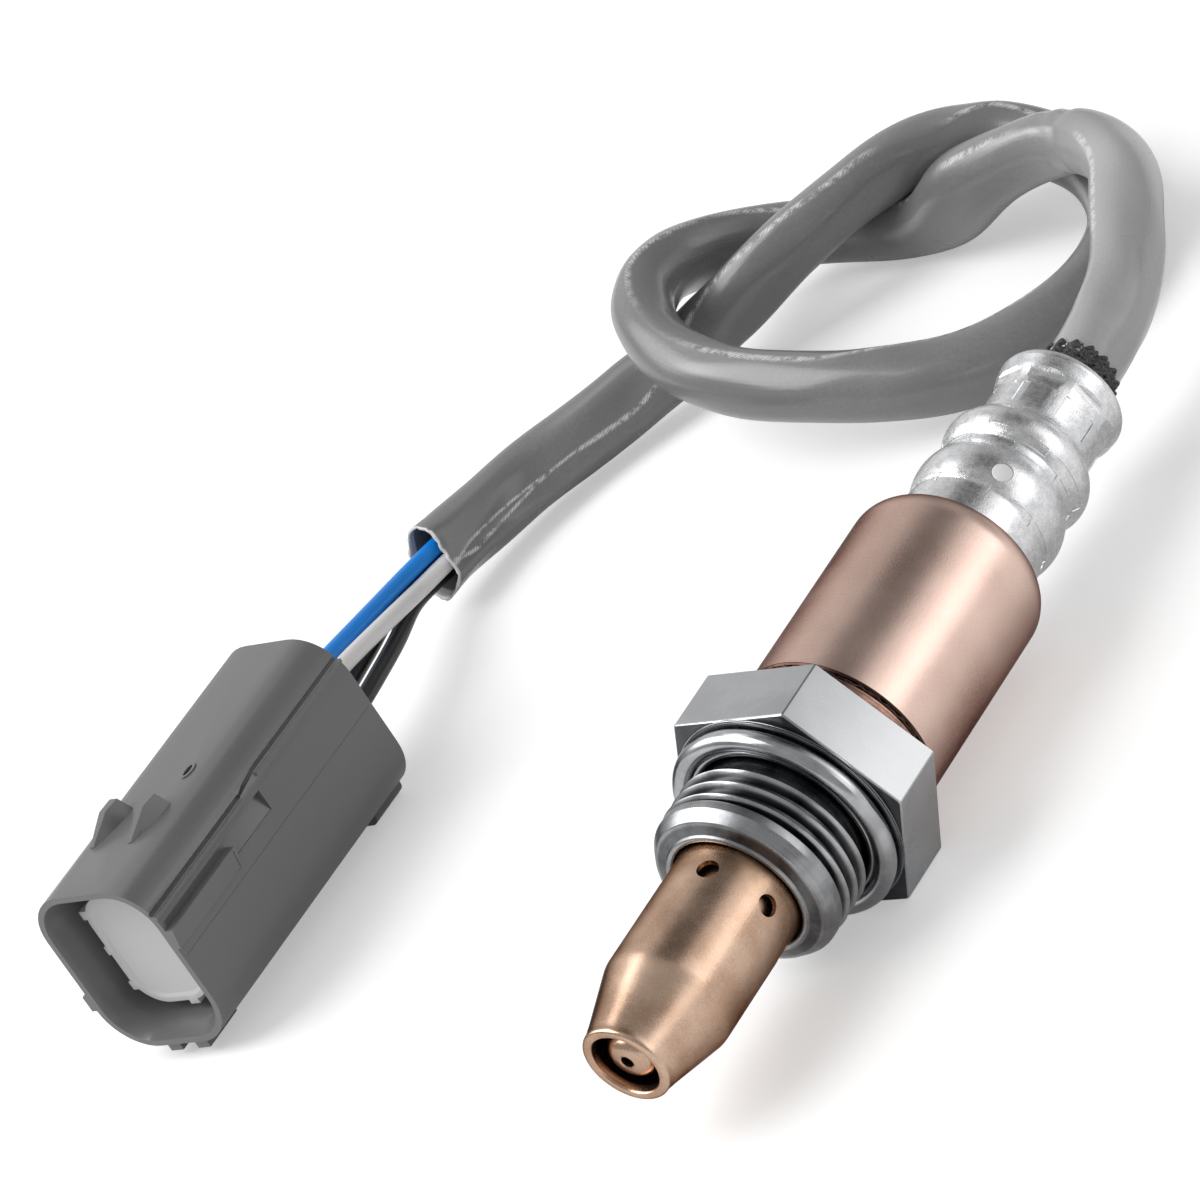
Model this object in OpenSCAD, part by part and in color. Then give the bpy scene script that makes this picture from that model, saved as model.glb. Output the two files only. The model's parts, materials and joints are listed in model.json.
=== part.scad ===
// Four-wire exhaust oxygen sensor with its sleeved lead and sealed connector, in millimetres.
// The sensor lies along Y with its nose at -Y, resting on one flat of its hexagon.
// Stations along the sensor are distances from the hexagon's front face, toward the cable.

/* [Shell] */
// across the flats of the hexagon
hex_flats = 22; // [17:1:27]
// length of the hexagon along the axis
hex_len = 6.4; // [4:0.2:10]
// outside diameter of the M18 thread
thread_d = 18; // [14:1:22]
// station of the shell's rolled front lip
shell_front = -10.3; // [-16:0.1:-8]
// diameter of the round washer face in front of the hexagon
washer_face_d = 21.8; // [18:0.2:24]
// outside diameter of the folded gasket
gasket_d = 21.6; // [18:0.2:24]

/* [Protector] */
// diameter of the outer protector tube
protector_d = 12; // [9:0.5:14]
// station of the protector's front rim
nose_front = -30.8; // [-40:0.1:-24]
// station where the outer protector starts to taper
taper_start = -23.4; // [-30:0.1:-16]
// diameter of the opening in the outer protector's nose
nose_opening_d = 6.4; // [4:0.2:9]
// number of gas holes round the outer protector
gas_holes = 6; // [4:1:8]
// diameter of each gas hole
gas_hole_d = 2; // [1:0.1:3]
// station of the gas holes
gas_hole_at = -12.9; // [-20:0.1:-11]
// sheet thickness of both protectors
protector_wall = 0.5; // [0.3:0.05:0.8]

/* [Casing and cover] */
// outside diameter of the rose-tinted casing
casing_d = 18.7; // [16:0.1:22]
// station of the casing's front edge at the weld
casing_front = 8.3; // [7:0.1:10]
// station of the casing's rear face
casing_rear = 33.1; // [28:0.1:42]
// sheet thickness of the casing
casing_wall = 0.8; // [0.5:0.05:1.2]
// outside radius of the casing's rolled rear edge
casing_round = 3.4; // [1:0.1:4]
// sheet thickness of the crimped cover
cover_wall = 0.6; // [0.4:0.05:1]
// diameter of the cover over its first bulge
bulge_d = 14.6; // [12:0.1:16]
// diameter of the cover's crimped neck
neck_d = 11.2; // [9:0.1:13]
// diameter of the cover's end collar
collar_d = 12.4; // [10:0.1:14]
// station of the cover's rear face
cover_rear = 54.8; // [48:0.1:62]
// number of flats pressed round the neck
crimp_flats = 8; // [6:1:12]
// diameter of each vent hole
vent_d = 2; // [1:0.1:3]

/* [Lead] */
// outside diameter of the coated glass-fibre sleeve
sleeve_d = 7.2; // [5:0.2:10]
// outside diameter of one wire
wire_d = 1.8; // [1.2:0.1:2.4]
// distance of each wire from the two middle planes inside the sensor
wire_offset = 1.7; // [1.2:0.1:2.2]

/* [Connector] */
// width of the connector housing
plug_width = 15.5; // [12:0.5:20]
// height of the connector housing
plug_height = 18.6; // [14:0.2:24]
// length of the connector housing
plug_len = 36; // [28:1:45]
// corner radius of the housing
plug_round = 5; // [3:0.5:7]
// wall of the housing round its mouth
plug_wall = 1.2; // [0.8:0.1:2]
// depth of the mouth behind its rim
mouth_depth = 15; // [10:0.5:20]
// width of the light grey insert in the mouth
insert_width = 9.6; // [7:0.2:12]
// height of the light grey insert
insert_height = 13.2; // [10:0.2:16]
// how far the insert's face lies behind the rim
insert_setback = 3; // [1:0.5:8]

/* [Hidden] */
$fn = 64;
// height of the axis over the floor: the sensor rests on a flat
axis_height = hex_flats / 2;
// the hexagon's front face is this far from the middle of the sensor
hex_front = -(nose_front + cover_rear) / 2;
hex_corner_d = hex_flats / cos(30);
thread_r = thread_d / 2;
tube_r = protector_d / 2;
casing_r = casing_d / 2;
cut = 0.01;
// shell radii and stations
lip_r = 8.9;
root_r = 8.1;
undercut_at = -3.5;
washer_front = -0.3;
band_rear = 8;
spigot_rear = 12.4;
seat_at = -2;
flange_at = -6.7;
// first hole and vent, measured from +X toward +Z
gas_hole_turn = 9;
vent_turn = 42.6;
vent_at = 38.2;
// rear cover: its flange behind the casing's hole, its straight front and the later stations
cover_front = 30.7;
cover_flange_r = 7.9;
cover_front_r = 6.9;
bulge_at = 38.7;
bulge_arc = 5.2;
ring_at = 44.5;
ring_arc = 2.8;
flare_from = 51.2;
collar_at = 53.8;
collar_round = 1;
// the tube of braid shows between cover and sleeve
braid_front = 53;
sleeve_start = 57.5;
braid_r = 3.55;
wire_r = wire_d / 2;
sides_sleeve = 10;
sides_wire = 8;

// connector placement: middle of the housing from the axis at the hexagon's front face
plug_at = [-74.5, 3.2, -0.2];
plug_tilt = [-2, 0, 2.5];
seal_len = 6;
seal_r = 1.55;
cavity_r = 1.2;
cavity_rear = -plug_len / 2 + mouth_depth;
terminal_x = 1.75;
terminal_z = 2.2;
// the wires leave the sleeve as a bundle of this radius, turned against the terminals
bundle_r = 1.4;
bundle_turn = -50;

// control points of the sleeve's middle line from the cover to the connector's wires,
// measured from the axis at the hexagon's front face
sleeve_points = [
    [0, 46.5, 0], [0, 57.5, 0], [0, 68.5, 0], [-5, 80.2, 2.8], [-11, 89.3, 1.2],
    [-21.1, 95.6, 1.6], [-33, 93.4, -0.4], [-43.3, 96.6, -8.1], [-56.6, 97.7, -7], [-65.2, 92.8, -3.1],
    [-68, 84.5, 1.5], [-65, 74.5, 3.5], [-57, 67.5, 1.5], [-46.5, 64.5, -1], [-35, 65, -3],
    [-24, 68, -6], [-15.5, 76.5, -7], [-15, 88, -7.5], [-21, 96.6, -6.4], [-31.2, 103.9, -5.5],
    [-44, 101.7, 1], [-52, 90.4, -0.4], [-57.4, 85.2, -2], [-66, 78.5, -6], [-73.5, 70.5, -7],
    [-80, 60, -7], [-82.6, 46.8, -5.3], [-79, 32.6, -2.7]
];
rings_per_point = 2;

// uniform cubic B-spline
function weights(t) = [pow(1 - t, 3), 3 * pow(t, 3) - 6 * t * t + 4,
    -3 * pow(t, 3) + 3 * t * t + 3 * t + 1, pow(t, 3)] / 6;
function on_span(points, i, t) = let (w = weights(t))
    w[0] * points[i] + w[1] * points[i + 1] + w[2] * points[i + 2] + w[3] * points[i + 3];
function spline(points, per) = [
    for (i = [0 : len(points) - 4]) for (k = [0 : per - 1]) on_span(points, i, k / per),
    on_span(points, len(points) - 4, 1)
];
function unit(v) = v / norm(v);
// direction of a path at its point i
function heading(path, i) = unit(path[min(i + 1, len(path) - 1)] - path[max(i - 1, 0)]);
function ring_points(p, d, r, sides) = let (side = unit(cross(d, [0, 0, 1])), up = cross(side, d))
    [for (s = [0 : sides - 1]) p + r * (cos(360 * s / sides) * side + sin(360 * s / sides) * up)];

// round bar of radius r along a path that never runs straight up
module swept(path, r, sides) {
    count = len(path);
    vertices = [for (i = [0 : count - 1]) each ring_points(path[i], heading(path, i), r, sides)];
    walls = [for (i = [0 : count - 2]) for (s = [0 : sides - 1])
        [i * sides + s, i * sides + (s + 1) % sides, (i + 1) * sides + (s + 1) % sides, (i + 1) * sides + s]];
    front = [for (s = [sides - 1 : -1 : 0]) s];
    rear = [for (s = [0 : sides - 1]) (count - 1) * sides + s];
    polyhedron(points = vertices, faces = concat([front], walls, [rear]), convexity = 6);
}

// from the sensor's own frame, axis along +Z and X unchanged, to the row frame
module on_sensor() {
    translate([0, hex_front, axis_height]) rotate([-90, 0, 0]) children();
}

// solid of revolution from a profile of [radius, station] pairs
module turned(profile) {
    rotate_extrude() polygon(profile);
}

// section of a solid from the axis out to radius r, between two stations
module band(r, from, to) {
    translate([0, from]) square([r, to - from]);
}

// a plain ring between two radii
module ring(inner, outer, from, to) {
    translate([0, 0, from]) difference() {
        cylinder(r = outer, h = to - from);
        translate([0, 0, -1]) cylinder(r = inner, h = to - from + 2);
    }
}

// children round the axis, the first at an angle from +X toward +Z of the row
module around(count, first) {
    for (k = [0 : count - 1]) rotate([0, 0, -(first + 360 / count * k)]) children();
}

// the four wire places round the axis
module at_wires() {
    for (x = [-1, 1]) for (y = [-1, 1]) translate([x * wire_offset, y * wire_offset, 0]) children();
}

// front end with rolled lip, thread, washer face and rear spigot
module shell_outline() {
    // rolled lip: flat rim, sloping shoulder, straight edge
    polygon([[0, shell_front], [6.85, shell_front], [8.3, shell_front + 0.8], [8.7, shell_front + 1.3],
        [lip_r, shell_front + 1.8], [lip_r, shell_front + 2.5], [0, shell_front + 2.5]]);
    band(root_r, shell_front + 2, 0);
    band(thread_r, shell_front + 3.1, undercut_at);
    band(washer_face_d / 2, washer_front, 0);
    band(9.2, 0, band_rear);
    band(8.5, 0, spigot_rear);
}

// stepped bore: lip, protector flanges, land, element seat and crimped rear edge
module shell_bore() {
    band(tube_r + 0.1, shell_front - 1, flange_at);
    band(7, flange_at - 0.55, flange_at + 0.6);
    band(4.65, flange_at, seat_at + 1);
    band(6.6, seat_at, 11.4);
    band(5.6, 0, spigot_rear + 1);
}

module shell() {
    color("silver") on_sensor() difference() {
        union() {
            rotate_extrude() shell_outline();
            cylinder(d = hex_corner_d, h = hex_len, $fn = 6);
        }
        rotate_extrude() shell_bore();
    }
}

// folded steel gasket in the undercut, thicker at its outer fold
module gasket() {
    color("dimgray") on_sensor() rotate_extrude() difference() {
        union() {
            translate([gasket_d / 2 - 1, washer_front - 0.95]) circle(r = 1);
            translate([8.6, washer_front - 1.7]) square([gasket_d / 2 - 9.6, 1.5]);
            translate([8.9, washer_front - 1.2]) circle(r = 0.6);
        }
        translate([7, washer_front - cut]) square([5, 2]);
    }
}

module outer_protector() {
    wall = protector_wall;
    color("peru") on_sensor() difference() {
        turned([
            [6.9, flange_at - 0.5], [tube_r, flange_at - 0.5], [tube_r, taper_start],
            [4.35, nose_front + 1.5], [4.1, nose_front + 0.5], [3.75, nose_front],
            [3.4, nose_front], [nose_opening_d / 2, nose_front + 0.3],
            [nose_opening_d / 2, nose_front + 0.9], [3.75, nose_front + 1.2], [3.95, nose_front + 1.7],
            [tube_r - wall, taper_start + 0.2], [tube_r - wall, flange_at], [6.9, flange_at]
        ]);
        around(gas_holes, gas_hole_turn) translate([3, 0, gas_hole_at]) rotate([0, 90, 0])
            cylinder(d = gas_hole_d, h = 5, $fn = 32);
    }
}

// second tube inside the first, its holes turned half a step and nearer the nose
module inner_protector() {
    color("burlywood") on_sensor() difference() {
        turned([
            [6.9, flange_at], [6.9, flange_at + 0.5], [4.5, flange_at + 0.5], [4.5, -20.4],
            [2.1, -25.4], [2.1, -29], [1.75, -29.6], [1.2, -29.9], [0.6, -30], [0.6, -30.4],
            [1.4, -30.3], [2.1, -29.9], [2.5, -29.1], [2.5, -25.5], [4.9, -20.6], [4.9, flange_at]
        ]);
        around(gas_holes, gas_hole_turn + 30) translate([3, 0, -18.4]) rotate([0, 90, 0])
            cylinder(d = 1.4, h = 4, $fn = 32);
    }
}

// closed-end ceramic cup that senses the oxygen
module zirconia_cup() {
    color("white") on_sensor() rotate_extrude() difference() {
        union() {
            translate([0, -20.5]) circle(r = 2.5);
            polygon([[0, -20.5], [2.5, -20.5], [3.2, -6], [4.4, -2.6], [4.4, -1.4], [6.4, -1.4],
                [6.4, 2.4], [4.4, 2.4], [4.4, 14.5], [0, 14.5]]);
        }
        translate([0, -20.5]) square([1.7, 40]);
        translate([0, -20.5]) circle(r = 1.7);
        translate([-9, -40]) square([9, 80]);
    }
}

module heater_rod() {
    color("whitesmoke") on_sensor() translate([0, 0, -20]) cylinder(r = 1.45, h = 41, $fn = 48);
}

module packing_washer() {
    color("silver") on_sensor() ring(4.7, 6.4, seat_at, -1.4);
}

module talc_ring() {
    color("lightgray") on_sensor() ring(4.4, 6.6, 2.4, 6.4);
}

module insulator_ring() {
    color("white") on_sensor() ring(4.5, 6.5, 6.4, 10.4);
}

module clamp_ring() {
    color("silver") on_sensor() ring(4.7, 6.5, 10.4, 11.4);
}

// slit spring sleeve between the cup's inner wall and the heater, with its lead tab
module inner_contact() {
    color("gold") on_sensor() difference() {
        union() {
            ring(1.5, 1.7, 4, 16);
            translate([1.5, -0.5, 15.8]) cube([0.3, 1, 4.2]);
        }
        translate([-3, -0.25, 3]) cube([3, 0.5, 14]);
    }
}

// slit spring cap over the cup's rear end, with its lead tab
module outer_contact() {
    color("gold") on_sensor() difference() {
        union() {
            ring(4.4, 4.75, 11.6, 16.4);
            ring(1.9, 4.75, 16.1, 16.4);
            translate([-4.7, -0.6, 16.2]) cube([0.3, 1.2, 3.6]);
        }
        translate([2.5, -0.4, 11]) cube([3, 0.8, 4]);
    }
}

// ceramic block that keeps the four sensor terminals apart
module terminal_holder() {
    color("ivory") on_sensor() difference() {
        translate([0, 0, 20]) cylinder(r = 6.2, h = 9);
        translate([0, 0, 19]) cylinder(r = 1.2, h = 2.2);
        translate([0, 0, 19]) cylinder(r = 1.6, h = 2.2);
        at_wires() translate([0, 0, 19]) cylinder(r = 1.15, h = 12, $fn = 32);
    }
}

// tolerance ring with raised waves that centres the holder in the casing
module holder_spring() {
    color("silver") on_sensor() difference() {
        union() {
            ring(6.2, 6.6, 21, 28);
            around(6, 0) translate([7.3, 0, 22]) cylinder(r = 1.2, h = 5, $fn = 32);
        }
        cylinder(r = 6.2, h = 40);
        around(6, 0) translate([7.3, 0, 20]) cylinder(r = 0.9, h = 9, $fn = 32);
    }
}

// four crimped barrels on the wire ends
module crimp_terminals() {
    color("gold") on_sensor() at_wires() difference() {
        translate([0, 0, 21.5]) cylinder(r = 1.1, h = 5.5, $fn = 32);
        translate([0, 0, 23]) cylinder(r = wire_r, h = 5, $fn = 32);
    }
}

module casing() {
    inner = casing_r - casing_wall;
    arc = casing_r - casing_round;
    arc_at = casing_rear - casing_round;
    color("rosybrown") on_sensor() rotate_extrude() difference() {
        union() {
            band(casing_r, casing_front, arc_at);
            band(arc, casing_front, casing_rear);
            translate([arc, arc_at]) circle(r = casing_round);
        }
        band(inner, casing_front - 1, arc_at);
        band(arc, casing_front - 1, casing_rear - casing_wall);
        translate([arc, arc_at]) circle(r = casing_round - casing_wall);
        band(cover_front_r + 0.1, 0, casing_rear + 1);
    }
}

// outline of the cover, or of its inside when "less" is the wall
module cover_outline(less) {
    translate([bulge_d / 2 - bulge_arc, bulge_at]) intersection() {
        circle(r = bulge_arc - less);
        translate([-9, -2.8]) square([20, 5.6]);
    }
    band(cover_front_r - less, cover_front, 36.3);
    band(6.4 - less, 35, 44);
    translate([7.18 - ring_arc, ring_at]) circle(r = ring_arc - less);
    band(neck_d / 2 - less, 44, flare_from);
    polygon([[0, flare_from - 1], [neck_d / 2 - less, flare_from - 1], [neck_d / 2 - less, flare_from],
        [collar_d / 2 - 0.1 - less, collar_at - 0.9], [0, collar_at - 0.9]]);
    band(collar_d / 2 - 0.2 - less, collar_at - 1.3, collar_at - 0.1);
    band(collar_d / 2 - collar_round - less, collar_at, cover_rear - less);
    translate([collar_d / 2 - collar_round, collar_at]) circle(r = collar_round - less);
}

// spun cover with two bulges, pressed neck and end collar
module crimp_cover() {
    color("gainsboro") on_sensor() difference() {
        rotate_extrude() intersection() {
            difference() {
                union() {
                    cover_outline(0);
                    band(cover_flange_r, cover_front, cover_front + cover_wall);
                }
                cover_outline(cover_wall);
                band(cover_front_r - cover_wall, 0, cover_front + 3);
                band(3.75, 0, 60);
            }
            band(20, 0, cover_rear);
        }
        around(2, vent_turn) translate([5, 0, vent_at]) rotate([0, 90, 0])
            cylinder(d = vent_d, h = 4, $fn = 32);
        around(crimp_flats, 15) translate([5.42, -1.8, 47.9]) cube([2, 3.6, 4.7]);
    }
}

// white PTFE band that lets air in through the vents and keeps water out
module vent_filter() {
    color("white") on_sensor() rotate_extrude() difference() {
        intersection() {
            translate([bulge_d / 2 - bulge_arc, bulge_at]) circle(r = bulge_arc - cover_wall);
            band(9, 36.8, 40.4);
        }
        band(5.8, 0, 60);
    }
}

// rubber plug that the wires pass through
module grommet() {
    color("dimgray") on_sensor() difference() {
        rotate_extrude() intersection() {
            union() {
                translate([7.18 - ring_arc, ring_at]) circle(r = ring_arc - cover_wall);
                band(neck_d / 2 - cover_wall, 43, flare_from);
            }
            band(9, 42.6, braid_front);
        }
        at_wires() translate([0, 0, 40]) cylinder(r = wire_r + 0.05, h = 16, $fn = 32);
    }
}

// black braid between the cover and the sleeve
module braid() {
    color("#222222") on_sensor() ring(braid_r - 0.25, braid_r, braid_front, sleeve_start - 0.1);
}

// a wire's stretch inside the sensor: straight from its crimp to the start of the sleeve
module tail_wire(x, z) {
    swept([for (y = [23.2, 40, sleeve_start - 0.1]) [x * wire_offset, hex_front + y, axis_height + z * wire_offset]],
        wire_r, sides_wire);
}

// from the connector's own frame, mouth at -Y, to the row frame
function plug_to_row(p) = let (a = plug_tilt[0], c = plug_tilt[2],
    q = [p[0], p[1] * cos(a) - p[2] * sin(a), p[1] * sin(a) + p[2] * cos(a)])
    [q[0] * cos(c) - q[1] * sin(c), q[0] * sin(c) + q[1] * cos(c), q[2]] + plug_at + [0, hex_front, axis_height];
module on_plug() {
    translate([0, hex_front, axis_height]) translate(plug_at) rotate(plug_tilt) children();
}

sleeve_path = [for (p = spline(sleeve_points, rings_per_point)) p + [0, hex_front, axis_height]];
sleeve_end = sleeve_path[len(sleeve_path) - 1];
sleeve_out = heading(sleeve_path, len(sleeve_path) - 1);

// a wire's stretch from the sleeve's end to its seal in the connector; x and z are its corner
module plug_wire(x, z) {
    side = unit(cross(sleeve_out, [0, 0, 1]));
    place = atan2(z, x) + bundle_turn;
    out_of_bundle = sin(place) * cross(side, sleeve_out) - cos(place) * side;
    start = sleeve_end + 0.2 * sleeve_out + bundle_r * out_of_bundle;
    seal = [terminal_x * x, plug_len / 2, terminal_z * z];
    entry = plug_to_row(seal + [0, 4, 0]);
    swept(spline([
        start - 3 * sleeve_out, start, start + 3 * sleeve_out,
        start * 0.6 + entry * 0.4, start * 0.3 + entry * 0.7, entry,
        plug_to_row(seal), plug_to_row(seal - [0, 8, 0]), plug_to_row(seal - [0, 15, 0])
    ], 3), wire_r, sides_wire);
}

module wire(x, z) {
    tail_wire(x, z);
    plug_wire(x, z);
}

module wire_blue() {
    color("royalblue") wire(-1, 1);
}

module wire_white() {
    color("white") wire(1, 1);
}

module wire_black_a() {
    color("#222222") wire(-1, -1);
}

module wire_black_b() {
    color("#222222") wire(1, -1);
}

module sleeve() {
    color("gray") swept(sleeve_path, sleeve_d / 2, sides_sleeve);
}

// rectangle w by h with rounded corners, extruded along Y from y0 to y1
module rounded_bar(w, h, r, y0, y1) {
    translate([0, y1, 0]) rotate([90, 0, 0]) linear_extrude(y1 - y0) union() {
        square([w - 2 * r, h], center = true);
        square([w, h - 2 * r], center = true);
        for (x = [-1, 1]) for (y = [-1, 1]) translate([x * (w / 2 - r), y * (h / 2 - r)]) circle(r = r);
    }
}

// wedge lug on the top face, rising from the mouth toward the rear
module latch_lug(x) {
    translate([x - 1, -11, plug_height / 2 - 0.3]) rotate([90, 0, 90]) linear_extrude(2)
        polygon([[0, 0], [0, 0.4], [3.4, 1.9], [5, 1.9], [5.6, 0]]);
}

// places of the four terminals in the connector's section
module at_terminals(y) {
    for (x = [-1, 1]) for (z = [-1, 1]) translate([terminal_x * x, y, terminal_z * z]) rotate([-90, 0, 0])
        children();
}

module connector_housing() {
    front = -plug_len / 2;
    rear = plug_len / 2;
    side = plug_width / 2;
    color("#555555") on_plug() difference() {
        union() {
            rounded_bar(plug_width, plug_height, plug_round, front, rear);
            // keying rails on both broad sides
            translate([side - 0.5, front, 1.8]) cube([1.4, 11.6, 2.2]);
            translate([-side - 1, front + 0.3, -4.6]) cube([1.6, 11, 1.8]);
            // ramped latch lugs on the top and stub rails below the mouth
            latch_lug(-2.4);
            latch_lug(2.6);
            for (x = [-1.9, 1.7]) translate([x - 0.8, front + 0.6, -plug_height / 2 - 1.2]) cube([1.6, 5, 2]);
            // foot under the rear end
            translate([0, 0, -plug_height / 2 + 0.7]) rounded_bar(9.4, 3, 1, rear - 5, rear);
        }
        rounded_bar(plug_width - 2 * plug_wall, plug_height - 2 * plug_wall, plug_round - plug_wall,
            front - 1, cavity_rear);
        // recess behind the rail, parting groove and gate mark
        translate([side - 0.5, front + 11.6, 2.6]) cube([2, 7, 1.6]);
        translate([side - 0.45, 0, 6.1]) rotate([0, 45, 0]) cube([0.5, plug_len + 2, 0.5], center = true);
        translate([2.4, -1.4, plug_height / 2 - 0.3]) cube([0.6, 1, 2]);
        for (y = [-1.4, -0.4]) translate([2.7, y, plug_height / 2 - 0.3]) cylinder(d = 0.6, h = 2, $fn = 24);
        at_terminals(cavity_rear - 1) cylinder(r = cavity_r, h = rear - cavity_rear + 2 - seal_len, $fn = 32);
        at_terminals(rear - seal_len) cylinder(r = seal_r, h = seal_len + 1, $fn = 32);
    }
}

// light grey tower with a plain face and small ribs on its long sides
module connector_insert() {
    face = -plug_len / 2 + insert_setback;
    color("lightgray") on_plug() difference() {
        union() {
            rounded_bar(insert_width, insert_height, 3.4, face, cavity_rear);
            for (z = [-4.2, 0.2, 4.6]) translate([-insert_width / 2 - 0.35, face, z - 0.5]) cube([1, 9, 1]);
            for (z = [-4.6, -0.2, 4.2]) translate([insert_width / 2 - 0.65, face, z - 0.5]) cube([1, 9, 1]);
            for (z = [-1, 1]) translate([0.8, face, z * insert_height / 2 - 0.5]) cube([1.2, 9, 1]);
        }
        at_terminals(face + 1.2) cylinder(r = cavity_r, h = mouth_depth, $fn = 32);
    }
}

// four socket contacts, each a box spring in front and a crimp barrel behind
module contact_pins() {
    color("gold") on_plug() at_terminals(-plug_len / 2 + insert_setback + 1.6) {
        translate([-0.8, -0.8, 0]) difference() {
            cube([1.6, 1.6, 8]);
            translate([0.3, 0.3, -1]) cube([1, 1, 7]);
        }
        translate([0, 0, 8]) cylinder(r = 0.9, h = 15.2, $fn = 32);
    }
}

// rubber seals round the wires in the rear of the housing
module wire_seals() {
    color("#884422") on_plug() at_terminals(plug_len / 2 - seal_len) difference() {
        cylinder(r = seal_r, h = seal_len - 0.6, $fn = 32);
        translate([0, 0, -1]) cylinder(r = wire_r + 0.02, h = seal_len + 2, $fn = 32);
    }
}

shell();
gasket();
outer_protector();
inner_protector();
zirconia_cup();
heater_rod();
packing_washer();
talc_ring();
insulator_ring();
clamp_ring();
inner_contact();
outer_contact();
terminal_holder();
holder_spring();
crimp_terminals();
casing();
vent_filter();
crimp_cover();
grommet();
braid();
wire_blue();
wire_white();
wire_black_a();
wire_black_b();
sleeve();
connector_housing();
connector_insert();
contact_pins();
wire_seals();
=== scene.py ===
import bpy
import json
import math
import random
from mathutils import Matrix, Vector


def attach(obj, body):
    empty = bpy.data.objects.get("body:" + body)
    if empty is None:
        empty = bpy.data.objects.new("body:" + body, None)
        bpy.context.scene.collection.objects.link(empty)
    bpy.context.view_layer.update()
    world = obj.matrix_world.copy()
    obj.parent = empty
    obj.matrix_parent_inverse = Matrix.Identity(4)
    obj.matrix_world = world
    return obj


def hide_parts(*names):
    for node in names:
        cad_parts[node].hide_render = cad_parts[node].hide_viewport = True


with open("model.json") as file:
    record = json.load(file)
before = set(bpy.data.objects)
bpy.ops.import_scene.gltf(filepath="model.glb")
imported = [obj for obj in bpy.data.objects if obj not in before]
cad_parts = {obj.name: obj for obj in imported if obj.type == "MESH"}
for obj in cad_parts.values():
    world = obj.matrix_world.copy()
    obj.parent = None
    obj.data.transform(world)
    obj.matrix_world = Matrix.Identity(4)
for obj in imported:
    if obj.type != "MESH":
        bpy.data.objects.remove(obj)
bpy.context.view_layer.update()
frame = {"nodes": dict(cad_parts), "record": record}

mm = 0.001
hexFront = -0.012  # where the hexagon's front face stands along Y
axisHeight = 0.011  # the sensor lies on a flat, 22 mm across flats
straightUp = Vector((0, 0, 1))
random.seed(11)


def shade(red, green, blue):
    # a colour as it reads on screen, 0 to 255, turned into what a shader takes
    parts = [value / 255 for value in (red, green, blue)]
    return (*[v / 12.92 if v <= 0.04045 else ((v + 0.055) / 1.055) ** 2.4 for v in parts], 1)


def onAxis(station):
    # the point of the sensor's axis so many mm behind the hexagon's front face
    return Vector((0, hexFront + station * mm, axisHeight))


def outward(turn):
    # straight out from the axis, the angle counted from +X toward +Z
    return Vector((math.cos(turn), 0, math.sin(turn)))


def fromAxis(place):
    return Vector((place.x, 0, place.z - axisHeight))


def addObject(name, data):
    thing = bpy.data.objects.new(name, data)
    bpy.context.collection.objects.link(thing)
    return thing


# the camera stands where the photograph was taken from, with a long lens
print("camera")
photoView = {
    "place": (0.4075, -0.3520, 0.3016),
    "right": (0.7178, 0.4695, -0.5141),
    "up": (0.0845, 0.6742, 0.7337),
    "back": (0.6911, -0.5701, 0.4443),
    "lens": 209.6,
    "sensorWidth": 36,
}


def setCamera(view):
    lensData = bpy.data.cameras.new("photoCamera")
    lensData.lens = view["lens"]
    lensData.sensor_width = view["sensorWidth"]
    lensData.clip_start = 0.01
    lensData.clip_start = 0.01
    camera = addObject("photoCamera", lensData)
    turn = Matrix((view["right"], view["up"], view["back"])).transposed()
    camera.rotation_mode = "QUATERNION"
    camera.rotation_quaternion = turn.to_quaternion()
    camera.location = view["place"]
    bpy.context.scene.camera = camera


setCamera(photoView)
bpy.context.scene.view_settings.view_transform = "Standard"

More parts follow.
